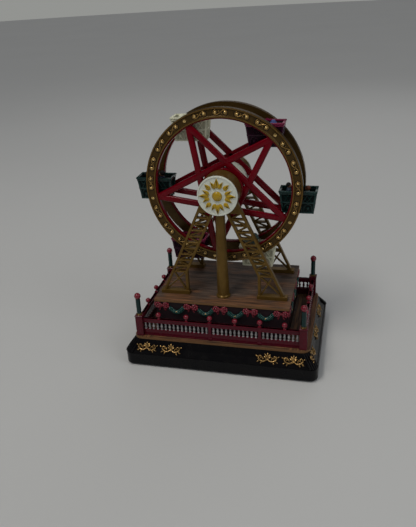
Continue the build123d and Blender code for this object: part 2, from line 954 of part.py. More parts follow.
rear_rim = rim()
rear_star = star()
save("rear_rim", rear_rim)
save("front_rim", mirror(rear_rim, about=Plane.XZ))
save("rear_star", rear_star)
save("front_star", mirror(rear_star, about=Plane.XZ))

spool = turned_y(
    [
        (axle_r, -star_y0),
        (spool_r, -star_y0),
        (spool_r, -star_y0 + spool_flange),
        (spool_core_r, -star_y0 + spool_flange * 2),
        (spool_core_r, star_y0 - spool_flange * 2),
        (spool_r, star_y0 - spool_flange),
        (spool_r, star_y0),
        (axle_r, star_y0),
    ],
    z=z_axle,
)
save("hub_spool", spool)

pin_tip = tub_d / 2 - pin_in
pins = []
for x, z in tub_pins:
    pins.append(rod_y(pin_r, pin_tip, rim_y0 + pin_grip, x, z))
    pins.append(rod_y(pin_r, -rim_y0 - pin_grip, -pin_tip, x, z))
save("gondola_pins", *pins)


# ---------------------------------------------------------------- gondolas
def tub_section(width, depth, z):
    radius = min(tub_corner_r, 0.45 * depth)
    return Pos(0, 0, z) * RectangleRounded(width, depth, radius)


def tub():
    """An open tub that tapers to its floor, with a lip at the pins and a band at half height."""
    top_w = tub_w - 2 * tub_lip_out
    top_d = tub_d - 2 * tub_lip_out
    low_w = top_w - 2 * tub_taper_w
    low_d = top_d - 2 * tub_taper_d
    lip = tub_lip_h / 2
    body = loft(
        [tub_section(low_w, low_d, -tub_drop), tub_section(top_w, top_d, lip)],
        ruled=True,
    )
    body += Pos(0, 0, -lip) * extrude(RectangleRounded(tub_w, tub_d, tub_corner_r), tub_lip_h)
    share = 0.5
    band_w = low_w + (top_w - low_w) * share + 2 * tub_band_out
    band_d = low_d + (top_d - low_d) * share + 2 * tub_band_out
    z_band = -tub_drop + (tub_drop + lip) * share
    band = extrude(RectangleRounded(band_w, band_d, tub_corner_r), tub_band_h)
    body += Pos(0, 0, z_band - tub_band_h / 2) * band
    body += Pos(0, 0, -tub_drop) * extrude(
        RectangleRounded(low_w + 2 * tub_band_out, low_d + 2 * tub_band_out, tub_corner_r),
        tub_band_h,
    )
    body -= loft(
        [
            tub_section(low_w - 2 * tub_wall, low_d - 2 * tub_wall, tub_floor - tub_drop),
            tub_section(top_w - 2 * tub_wall, top_d - 2 * tub_wall, lip),
        ],
        ruled=True,
    )
    return body - rod_y(pin_r + pin_fit, -tub_d, tub_d)


def rider(x):
    """A seated figure without limbs: a body that narrows to the neck, and a round head."""
    floor = tub_floor - tub_drop
    body, ball = rider_body_r, rider_head_r
    head = rider_top - ball
    neck = head - ball * 0.8
    steps = (
        (floor, body),
        (neck - 2.6, body),
        (neck - 0.6, body * 0.75),
        (neck, ball * 0.45),
        (head - ball * 0.5, ball * 0.87),
        (head, ball),
        (head + ball * 0.5, ball * 0.87),
        (rider_top, ball * 0.35),
    )
    return faceted_turning(steps, 8, x)


tub_names = ("right", "top_right", "top_left", "left", "bottom_left", "bottom_right")
tub_form = tub()
rider_forms = [rider(-rider_x), rider(rider_x)]
for name, (x, z) in zip(tub_names, tub_pins):
    save(f"{name}_gondola", Pos(x, 0, z) * tub_form)
    save(f"{name}_passengers", *[Pos(x, 0, z) * r for r in rider_forms])

# ---------------------------------------------------------------- gear train at the hub
# The axle gear faces the front; its cone and the pinion's meet on the axis of the drive shaft.
quarter = math.pi / 2
axle_gear = bevel_gear(
    top_module,
    axle_teeth,
    pinion_teeth,
    top_face,
    axle_r,
    gear_hub_r,
    tower_y - drum_y0 - drum_end - end_gap,
    turn=quarter,
)
save("axle_gear", Pos(0, -tower_y, z_axle) * Rot(X=-90) * axle_gear)

z_top_bush = z_axle - drum_in_r + 0.2
half_gap = math.pi / pinion_teeth
shaft_pinion = bevel_gear(
    top_module,
    pinion_teeth,
    axle_teeth,
    top_face,
    shaft_r,
    2.2,
    z_axle - z_top_bush - end_gap,
    turn=-quarter + half_gap,
)
low_gap = math.pi / mitre_teeth
z_low_bush = z_riser_top - 1.7
shaft_mitre = bevel_gear(
    low_module,
    mitre_teeth,
    mitre_teeth,
    low_face,
    shaft_r,
    gear_hub_r,
    z_low_bush - end_gap - z_crank,
    turn=quarter + low_gap,
)
save(
    "drive_shaft_gears",
    Pos(0, -tower_y, z_axle) * Rot(X=180) * shaft_pinion,
    Pos(0, -tower_y, z_crank) * shaft_mitre,
)
z_shaft_top = z_axle - axle_gear_r * (1 - top_face / math.hypot(axle_gear_r, pinion_r)) + 0.3
z_shaft_low = z_crank + mitre_r * 0.5
drive_shaft = rod_z(shaft_r, z_shaft_low, z_shaft_top, 0, -tower_y)
save("drive_shaft", drive_shaft)

# ---------------------------------------------------------------- crank
arm_y0 = crank_y1
arm_y1 = arm_y0 + arm_t
crank_front = -tower_y + mitre_r * 0.55
crank_shaft = rod_y(crank_shaft_r, crank_front, arm_y1, z=z_crank)
save("crank_shaft", crank_shaft)

crank_mitre = bevel_gear(
    low_module,
    mitre_teeth,
    mitre_teeth,
    low_face,
    crank_shaft_r,
    gear_hub_r,
    tower_y + cheek_y0 - end_gap,
    turn=-quarter,
)
music_y0 = cheek_y0 + cheek_t + 1.0
crank_pinion = spur_gear(music_module, crank_pinion_teeth, music_gear_t)
crank_pinion -= Cylinder(crank_shaft_r, 4 * music_gear_t)
save(
    "crank_gears",
    Pos(0, -tower_y, z_crank) * Rot(X=-90) * crank_mitre,
    Pos(0, music_y0, z_crank) * Rot(X=-90) * crank_pinion,
)

arm = plate_y(
    Pos(0, z_crank - crank_throw / 2) * Rot(Z=90) * SlotCenterToCenter(crank_throw, arm_w),
    arm_y0,
    arm_y1,
)
arm += rod_y(arm_hub_r, arm_y0 - arm_hub_h, arm_y1, z=z_crank)
arm -= rod_y(crank_shaft_r, arm_y0 - arm_hub_h, arm_y1, z=z_crank)
z_grip = z_crank - crank_throw
grip_y0 = arm_y1 + end_gap
grip_y1 = grip_y0 + grip_len
arm += rod_y(grip_pin_r, arm_y1 - 1, grip_y1 + end_gap + grip_head_h, z=z_grip)
arm += rod_y(
    grip_head_r, grip_y1 + end_gap, grip_y1 + end_gap + grip_head_h, z=z_grip
)
save("crank_arm", arm)

grip = turned_y(
    [
        (grip_pin_r + run_fit, grip_y0),
        (grip_neck_r, grip_y0),
        (grip_neck_r + 0.3, grip_y0 + grip_len * 0.15),
        (grip_r, grip_y0 + grip_len * 0.6),
        (grip_r, grip_y0 + grip_len * 0.8),
        (grip_r * 0.8, grip_y1),
        (grip_pin_r + run_fit, grip_y1),
    ],
    z=z_grip,
)
save("crank_grip", grip)

# ---------------------------------------------------------------- bushes
axle_bush = turned_y(
    [
        (axle_r + run_fit, star_y1 + end_gap),
        (axle_bush_r + flange_out, star_y1 + end_gap),
        (axle_bush_r + flange_out, drum_y0),
        (axle_bush_r, drum_y0),
        (axle_bush_r, drum_y0 + drum_end),
        (axle_r + run_fit, drum_y0 + drum_end),
    ],
    z=z_axle,
)
shaft_bush_low = rod_z(shaft_bush_r, z_low_bush, z_upper, 0, -tower_y)
shaft_bush_low += rod_z(shaft_bush_r + flange_out, z_low_bush, z_riser_top, 0, -tower_y)
shaft_bush_low -= rod_z(shaft_r + run_fit, z_low_bush, z_upper, 0, -tower_y)
top_bush_len = 5.0
shaft_bush_top = rod_z(column_bore_r, z_top_bush - top_bush_len, z_top_bush, 0, -tower_y)
shaft_bush_top -= rod_z(shaft_r + run_fit, z_top_bush - top_bush_len, z_top_bush, 0, -tower_y)
crank_bush = rod_y(crank_bush_r, riser_half_y - riser_wall, riser_half_y, z=z_crank)
crank_bush += rod_y(crank_bush_r + flange_out, riser_half_y, riser_half_y + relief_t, z=z_crank)
crank_bush -= rod_y(crank_shaft_r + run_fit, 0, riser_half_y + relief_t, z=z_crank)
save(
    "bearing_bushes",
    axle_bush,
    mirror(axle_bush, about=Plane.XZ),
    shaft_bush_low,
    shaft_bush_top,
    crank_bush,
)

# ---------------------------------------------------------------- musical movement
cylinder_x = music_module * (crank_pinion_teeth + cylinder_teeth) / 2
cylinder_y0 = music_y0 + music_gear_t + 1.0
cylinder_y1 = cylinder_y0 + cylinder_len
cheek_y1 = cylinder_y1 + 1.0
z_bed = z_lower + bedplate_t
comb_x0 = cylinder_x + cylinder_r + cylinder_pin + comb_gap
comb_x1 = comb_x0 + comb_len
cheek_x0 = -crank_shaft_r - 2.5
cheek_x1 = cylinder_x + arbor_r + 3.5


def cheek(y0):
    """An upright that carries the crank shaft and the cylinder's arbor, with rounded shoulders."""
    width = cheek_x1 - cheek_x0
    height = z_crank + cheek_top - z_lower
    face = Pos((cheek_x0 + cheek_x1) / 2, z_lower + height / 2) * Rectangle(width, height)
    upright = plate_y(face, y0, y0 + cheek_t)
    shoulders = upright.edges().filter_by(Axis.Y).group_by(Axis.Z)[-1]
    upright = fillet(shoulders, min(3.0, 0.4 * height))
    upright -= rod_y(crank_shaft_r + run_fit, y0, y0 + cheek_t, z=z_crank)
    return upright - rod_y(arbor_r + run_fit, y0, y0 + cheek_t, cylinder_x, z_crank)


bed = block(cheek_x0, comb_x1, cheek_y0, cheek_y1 + cheek_t, z_lower, z_bed)
comb_block = block(
    comb_x1 - comb_block_w, comb_x1, cylinder_y0, cylinder_y1, z_lower, z_crank - comb_t / 2
)
save("movement_frame", bed + cheek(cheek_y0) + cheek(cheek_y1) + comb_block)

comb = block(comb_x0, comb_x1, cylinder_y0, cylinder_y1, z_crank - comb_t / 2, z_crank + comb_t / 2)
tooth_pitch = cylinder_len / comb_teeth
for i in range(1, comb_teeth):
    y = cylinder_y0 + i * tooth_pitch
    comb -= block(
        comb_x0,
        comb_x0 + comb_tooth_len,
        y - comb_slot / 2,
        y + comb_slot / 2,
        z_crank - comb_t,
        z_crank + comb_t,
    )
save("comb", comb)

cylinder = rod_y(cylinder_r, cylinder_y0, cylinder_y1, cylinder_x, z_crank)
for i in range(comb_teeth):
    y = cylinder_y0 + (i + 0.5) * tooth_pitch
    for turn in (137.5 * i, 137.5 * i + 160):
        stud = block(cylinder_r - 1, cylinder_r + cylinder_pin, -0.2, 0.2, -0.2, 0.2)
        cylinder += Pos(cylinder_x, y, z_crank) * Rot(Y=turn) * stud
cylinder_gear = spur_gear(
    music_module, cylinder_teeth, music_gear_t, turn=math.pi + math.pi / cylinder_teeth
)
cylinder += Pos(cylinder_x, music_y0, z_crank) * Rot(X=-90) * cylinder_gear
cylinder += rod_y(arbor_r, cheek_y0, cheek_y1 + cheek_t, cylinder_x, z_crank)
save("music_cylinder", cylinder)
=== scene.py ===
import json
import math

import bmesh
import bpy
from mathutils import Matrix, Vector


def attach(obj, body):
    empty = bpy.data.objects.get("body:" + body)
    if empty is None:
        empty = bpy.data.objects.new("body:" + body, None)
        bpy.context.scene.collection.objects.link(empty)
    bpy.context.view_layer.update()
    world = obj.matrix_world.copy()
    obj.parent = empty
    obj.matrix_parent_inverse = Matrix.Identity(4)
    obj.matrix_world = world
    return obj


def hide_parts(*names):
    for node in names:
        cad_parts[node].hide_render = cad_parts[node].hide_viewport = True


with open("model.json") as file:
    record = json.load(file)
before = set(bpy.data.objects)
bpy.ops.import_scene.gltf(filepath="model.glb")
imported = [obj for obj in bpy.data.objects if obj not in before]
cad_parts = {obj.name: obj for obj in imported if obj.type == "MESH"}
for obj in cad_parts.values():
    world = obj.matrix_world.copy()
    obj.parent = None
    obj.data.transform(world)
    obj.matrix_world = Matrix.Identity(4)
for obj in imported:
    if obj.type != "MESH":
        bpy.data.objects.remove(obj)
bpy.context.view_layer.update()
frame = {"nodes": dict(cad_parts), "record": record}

# A hand-cranked ferris wheel toy on a decked and fenced base. Lengths below are in millimetres.
MM = 0.001
scene = bpy.context.scene


# ---- modelling by hand
def deselect():
    if bpy.context.object and bpy.context.object.mode != "OBJECT":
        bpy.ops.object.mode_set(mode="OBJECT")
    bpy.ops.object.select_all(action="DESELECT")


def named(name):
    piece = bpy.context.active_object
    piece.name = name
    piece.data.name = name
    return piece


def only(piece):
    deselect()
    piece.select_set(True)
    bpy.context.view_layer.objects.active = piece


def edit(piece):
    only(piece)
    bpy.ops.object.mode_set(mode="EDIT")
    bpy.ops.mesh.select_all(action="SELECT")


def settle(piece):
    """Leave edit mode and put the piece's place into its mesh."""
    only(piece)
    bpy.ops.object.transform_apply(location=True, rotation=True, scale=True)
    return piece


def pick_faces(piece, test):
    """Select the faces whose centre and normal pass a test."""
    bpy.ops.mesh.select_mode(type="FACE")
    bpy.ops.mesh.select_all(action="DESELECT")
    mesh = bmesh.from_edit_mesh(piece.data)
    for face in mesh.faces:
        if test(face.calc_center_median(), face.normal):
            face.select_set(True)
    bmesh.update_edit_mesh(piece.data)


def pick_edges(piece, test):
    """Select the edges whose two ends pass a test."""
    bpy.ops.mesh.select_mode(type="EDGE")
    bpy.ops.mesh.select_all(action="DESELECT")
    mesh = bmesh.from_edit_mesh(piece.data)
    for edge in mesh.edges:
        if test(edge.verts[0].co, edge.verts[1].co):
            edge.select_set(True)
    bmesh.update_edit_mesh(piece.data)


def outward(piece):
    edit(piece)
    bpy.ops.mesh.remove_doubles(threshold=0.002 * MM)
    bpy.ops.mesh.normals_make_consistent(inside=False)
    deselect()
    return piece


def bevelled(piece, width, segments=2, angle=35):
    only(piece)
    edge = piece.modifiers.new("Bevel", "BEVEL")
    edge.width = width * MM
    edge.segments = segments
    edge.limit_method = "ANGLE"
    edge.angle_limit = math.radians(angle)
    bpy.ops.object.modifier_apply(modifier=edge.name)
    return piece


def smoothed(piece, angle=38):
    only(piece)
    bpy.ops.object.shade_smooth_by_angle(angle=math.radians(angle))
    return piece


def moved(piece, matrix):
    """Move a piece's mesh by a matrix in millimetres."""
    place = matrix.copy()
    place.translation = matrix.translation * MM
    piece.data.transform(place)
    if matrix.determinant() < 0:
        piece.data.flip_normals()
    return piece


def copy_of(piece, name, matrix):
    """A copy with its own mesh, moved by a matrix in millimetres."""
    twin = piece.copy()
    twin.data = piece.data.copy()
    twin.name = name
    twin.data.name = name
    scene.collection.objects.link(twin)
    return moved(twin, matrix)


def joined(name, pieces):
    only(pieces[0])
    for piece in pieces[1:]:
        piece.select_set(True)
    bpy.ops.object.join()
    return named(name)


def discard(*pieces):
    for piece in pieces:
        bpy.data.objects.remove(piece)


def bar(name, low, high, bevel=0.0, segments=2):
    """A squared bar between two corners, its edges eased."""
    deselect()
    centre = [(a + b) / 2 * MM for a, b in zip(low, high)]
    bpy.ops.mesh.primitive_cube_add(size=1, location=centre)
    piece = named(name)
    piece.scale = [(b - a) * MM for a, b in zip(low, high)]
    settle(piece)
    if bevel:
        bevelled(piece, bevel, segments)
    return piece


def turned(name, steps, sides=24, x=0.0, y=0.0):
    """A round form along Z, drawn up from its foot through (height, radius) steps."""
    z0, r0 = steps[0]
    deselect()
    bpy.ops.mesh.primitive_circle_add(
        vertices=sides, radius=r0 * MM, fill_type="NGON", location=(x * MM, y * MM, z0 * MM)
    )
    piece = settle(named(name))
    edit(piece)
    for z, r in steps[1:]:
        rise = (0, 0, (z - z0) * MM)
        bpy.ops.mesh.extrude_region_move(TRANSFORM_OT_translate={"value": rise})
        bpy.ops.transform.resize(
            value=(r / r0, r / r0, 1), center_override=(x * MM, y * MM, z * MM)
        )
        z0, r0 = z, r
    deselect()
    return outward(piece)


def turned_ring(name, section, sides=96):
    """A ring about Z, spun from a closed (radius, height) section."""
    deselect()
    bpy.ops.mesh.primitive_circle_add(vertices=len(section), radius=MM, fill_type="NOTHING")
    piece = named(name)
    for point, (r, z) in zip(piece.data.vertices, section):
        point.co = Vector((r, 0, z)) * MM
    edit(piece)
    bpy.ops.mesh.spin(steps=sides, angle=2 * math.pi, center=(0, 0, 0), axis=(0, 0, 1))
    deselect()
    return outward(piece)


def plate(name, outline, depth):
    """An outline in X and Z, given a thickness from y=0 towards -Y."""
    deselect()
    bpy.ops.mesh.primitive_circle_add(vertices=len(outline), radius=MM, fill_type="NGON")
    piece = named(name)
    for point, (x, z) in zip(piece.data.vertices, outline):
        point.co = Vector((x, 0, z)) * MM
    edit(piece)
    bpy.ops.mesh.extrude_region_move(TRANSFORM_OT_translate={"value": (0, -depth * MM, 0)})
    deselect()
    return outward(piece)


def tube(name, points, radius, resolution=3, taper=None):
    """A round strand along a smooth line through points."""
    deselect()
    bpy.ops.curve.primitive_bezier_curve_add()
    piece = bpy.context.active_object
    line = piece.data.splines[0]
    line.bezier_points.add(len(points) - 2)
    for k, (knot, point) in enumerate(zip(line.bezier_points, points)):
        knot.co = Vector(point) * MM
        knot.handle_left_type = knot.handle_right_type = "AUTO"
        knot.radius = taper[k] if taper else 1.0
    piece.data.resolution_u = 5
    piece.data.bevel_depth = radius * MM
    piece.data.bevel_resolution = resolution - 1
    piece.data.use_fill_caps = True
    bpy.ops.object.convert(target="MESH")
    return settle(named(name))


def bead(name, centre, radii, segments=16, rings=10):
    """A ball, or a pressed ball with three radii."""
    deselect()
    bpy.ops.mesh.primitive_uv_sphere_add(
        segments=segments, ring_count=rings, radius=MM, location=Vector(centre) * MM
    )
    piece = named(name)
    piece.scale = radii
    settle(piece)
    bpy.ops.object.shade_smooth()
    return piece


def eased(node, width):
    """Live weld and bevel on a CAD node, whose own mesh stays as it is."""
    piece = frame["nodes"][node]
    weld = piece.modifiers.new("Weld", "WELD")
    weld.merge_threshold = 0.002 * MM
    edge = piece.modifiers.new("Bevel", "BEVEL")
    edge.width = width * MM
    edge.segments = 2
    edge.limit_method = "ANGLE"
    edge.angle_limit = math.radians(32)
    edge.harden_normals = True
    return piece


def places(node):
    """The (lowest, highest) corners in millimetres of each separate solid of a CAD node."""
    mesh = bmesh.new()
    mesh.from_mesh(frame["nodes"][node].data)
    bmesh.ops.remove_doubles(mesh, verts=mesh.verts, dist=0.001 * MM)
    left, found = set(mesh.verts), []
    while left:
        island, edge = set(), [left.pop()]
        while edge:
            point = edge.pop()
            island.add(point)
            for line in point.link_edges:
                other = line.other_vert(point)
                if other in left:
                    left.remove(other)
                    edge.append(other)
        low = [min(p.co[i] for p in island) / MM for i in range(3)]
        high = [max(p.co[i] for p in island) / MM for i in range(3)]
        found.append((low, high))
    mesh.free()
    return sorted(found)


def shift(x=0.0, y=0.0, z=0.0):
    return Matrix.Translation((x, y, z))


def turn(degrees, axis):
    return Matrix.Rotation(math.radians(degrees), 4, axis)


def scaled(x, y, z):
    return Matrix.Diagonal((x, y, z, 1))


def painted(piece, finish):
    """Give a piece one finish, by its name in the list of finishes."""
    piece.data.materials.clear()
    piece.data.materials.append(paint[finish])
    return piece


def seated(piece, nodes=(), body=None):
    """Put a finished piece on its body, standing for the nodes that it is made after."""
    if nodes:
        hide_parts(*nodes)
        body = node_body[nodes[0]]
    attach(piece, body)
    return piece


node_body = {n: b for b, ns in frame["record"]["behaviour"]["bodies"].items() for n in ns}
node_slot = {s["node"]: s["material_slot"] for s in frame["record"]["subparts"]}


# ---- finishes
COLOUR, VALUE = "NodeSocketColor", "NodeSocketFloat"
DUST_TONE = (0.32, 0.3, 0.27, 1)


def group_start(name, inputs):
    """An effect with its named inputs. Each one puts out a colour, a roughness and a height."""
    group = bpy.data.node_groups.new(name, "ShaderNodeTree")
    for label, kind, value in inputs:
        socket = group.interface.new_socket(name=label, in_out="INPUT", socket_type=kind)
        if value is not None:
            socket.default_value = value
    for label, kind in (("Colour", COLOUR), ("Roughness", VALUE), ("Height", VALUE)):
        group.interface.new_socket(name=label, in_out="OUTPUT", socket_type=kind)
    given = group.nodes.new("NodeGroupInput")
    return group, given.outputs, group.nodes.new("NodeGroupOutput").inputs


def node(tree, kind, links=(), **settings):
    """A shader node with its settings, and its inputs set or linked by socket name."""
    made = tree.nodes.new("ShaderNode" + kind)
    for key, value in settings.items():
        setattr(made, key, value)
    for socket, value in links:
        target = made.inputs[socket]
        if isinstance(value, bpy.types.NodeSocket):
            tree.links.new(value, target)
        else:
            target.default_value = value
    return made


def calc(tree, operation, first, second=0.5):
    links = [(0, first), (1, second)]
    return node(tree, "Math", links, operation=operation).outputs[0]


def spread_range(tree, value, low, high, to_low, to_high):
    links = [(0, value), (1, low), (2, high), (3, to_low), (4, to_high)]
    return node(tree, "MapRange", links).outputs[0]


def blended(tree, share, first, second, mode="MIX"):
    links = [(0, share), (6, first), (7, second)]
    return node(tree, "Mix", links, data_type="RGBA", blend_type=mode).outputs[2]


def noise(tree, place, scale, detail=2.0, roughness=0.5):
    links = [("Vector", place), ("Scale", scale), ("Detail", detail), ("Roughness", roughness)]
    return node(tree, "TexNoise", links).outputs["Fac"]


def stretched(tree, place, scale):
    return node(tree, "Mapping", [("Vector", place), ("Scale", scale)]).outputs[0]


def facing_up(tree, low, high):
    """How far a face looks up, from 0 at one slope to 1 at another."""
    normal = node(tree, "NewGeometry").outputs["Normal"]
    up = node(tree, "SeparateXYZ", [(0, normal)]).outputs["Z"]
    return spread_range(tree, up, low, high, 0.0, 1.0)


def moulded_group():
    """Uneven tone, soft dust on top faces and a fine skin, as painted and moulded plastic has."""
    group, given, out = group_start(
        "moulded_skin",
        [
            ("Tone", COLOUR, None),
            ("Shade", COLOUR, None),
            ("Patch size", VALUE, 120.0),
            ("Unevenness", VALUE, 0.5),
            ("Dust", VALUE, 0.1),
            ("Roughness", VALUE, 0.35),
        ],
    )
    place = node(group, "TexCoord").outputs["Object"]
    patch = noise(group, place, given["Patch size"], 5.0, 0.6)
    fine = noise(group, place, 2600.0, 3.0)
    share = spread_range(group, patch, 0.35, 0.68, 0.0, 1.0)
    share = calc(group, "MULTIPLY", share, given["Unevenness"])
    tone = blended(group, share, given["Tone"], given["Shade"])
    specks = spread_range(group, fine, 0.42, 0.7, 0.2, 1.0)
    dusty = calc(group, "MULTIPLY", facing_up(group, 0.4, 0.98), specks)
    dusty = calc(group, "MULTIPLY", dusty, given["Dust"])
    group.links.new(blended(group, dusty, tone, DUST_TONE), out["Colour"])
    rough = spread_range(group, patch, 0.3, 0.7, 0.8, 1.25)
    rough = calc(group, "MULTIPLY", rough, given["Roughness"])
    group.links.new(calc(group, "ADD", rough, dusty), out["Roughness"])
    group.links.new(calc(group, "ADD", fine, patch), out["Height"])
    return group


def plank_group():
    """Boards with grooves and long grain, along X, or along Y on the low deck's side strips."""
    group, given, out = group_start(
        "deck_boards",
        [
            ("Board", COLOUR, None),
            ("Grain", COLOUR, None),
            ("Warm", COLOUR, None),
            ("Edge", COLOUR, None),
            ("Width", VALUE, 2.3),
        ],
    )
    place = node(group, "TexCoord").outputs["Object"]
    x, y, z = node(group, "SeparateXYZ", [(0, place)]).outputs
    sides = spread_range(group, calc(group, "ABSOLUTE", x), 0.0434, 0.0436, 0.0, 1.0)
    low = spread_range(group, z, 0.028, 0.032, 1.0, 0.0)
    sides = calc(group, "MULTIPLY", sides, low)
    front = spread_range(group, y, -0.012, -0.03, 0.0, 0.22)
    crossed = node(group, "CombineXYZ", [(0, y), (1, x), (2, z)]).outputs[0]
    place = blended(group, sides, place, crossed)
    across = node(group, "SeparateXYZ", [(0, place)]).outputs["Y"]
    board = calc(group, "DIVIDE", calc(group, "MULTIPLY", across, 1000.0), given["Width"])
    number = [("W", calc(group, "FLOOR", board))]
    own = node(group, "TexWhiteNoise", number, noise_dimensions="1D").outputs["Value"]
    near = calc(group, "SUBTRACT", calc(group, "FRACT", board), 0.5)
    groove = spread_range(group, calc(group, "ABSOLUTE", near), 0.42, 0.5, 1.0, 0.0)
    grain = noise(group, stretched(group, place, (70.0, 1300.0, 300.0)), 1.0, 4.0)
    worn_and_lit = noise(group, stretched(group, place, (45.0, 120.0, 60.0)), 1.0)
    # Near the front edge and on the low deck's side strips the boards move towards the Warm colour;
    # on the side strips this is painted light, lifting the shadow that falls on them.
    worn_and_lit = calc(group, "ADD", calc(group, "ADD", worn_and_lit, front), sides)
    worn_and_lit = spread_range(group, worn_and_lit, 0.48, 0.66, 0.0, 0.85)
    tone = blended(group, worn_and_lit, given["Board"], given["Warm"])
    streak = spread_range(group, grain, 0.38, 0.62, 0.0, 0.85)
    tone = blended(group, streak, tone, given["Grain"])
    for value, darkest, lightest in ((own, 0.78, 1.18), (groove, 0.4, 1.0)):
        part = spread_range(group, value, 0.0, 1.0, darkest, lightest)
        grey = node(group, "CombineColor", [(0, part), (1, part), (2, part)]).outputs[0]
        tone = blended(group, 1.0, tone, grey, "MULTIPLY")
    top = facing_up(group, 0.55, 0.8)
    group.links.new(blended(group, top, given["Edge"], tone), out["Colour"])
    group.links.new(spread_range(group, grain, 0.3, 0.7, 0.42, 0.6), out["Roughness"])
    high = calc(group, "MULTIPLY", calc(group, "ADD", groove, grain), top)
    group.links.new(high, out["Height"])
    return group


MOULDED = moulded_group()
BOARDS = plank_group()


def surface(name, effect, links, bump, metallic=0.0, coat=0.0, distance=0.00006, gloss=0.2):
    """A material whose colour, roughness and bump come from a shared effect."""
    material = bpy.data.materials.new(name)
    material.use_nodes = True
    tree = material.node_tree
    shader = tree.nodes["Principled BSDF"]
    made = node(tree, "Group", node_tree=effect)
    for socket, value in links:
        made.inputs[socket].default_value = value
    tree.links.new(made.outputs["Colour"], shader.inputs["Base Color"])
    tree.links.new(made.outputs["Roughness"], shader.inputs["Roughness"])
    links = [("Height", made.outputs["Height"]), ("Strength", bump), ("Distance", distance)]
    tree.links.new(node(tree, "Bump", links).outputs[0], shader.inputs["Normal"])
    shader.inputs["Metallic"].default_value = metallic
    shader.inputs["Coat Weight"].default_value = coat
    shader.inputs["Coat Roughness"].default_value = 0.08
    shader.inputs["Specular IOR Level"].default_value = gloss
    return material


def plastic(name, tone, shade, rough, uneven=0.5, dust=0.08, size=120.0, bump=0.25, **more):
    links = [
        ("Tone", (*tone, 1)),
        ("Shade", (*shade, 1)),
        ("Patch size", size),
        ("Unevenness", uneven),
        ("Dust", dust),
        ("Roughness", rough),
    ]
    return surface(name, MOULDED, links, bump, **more)


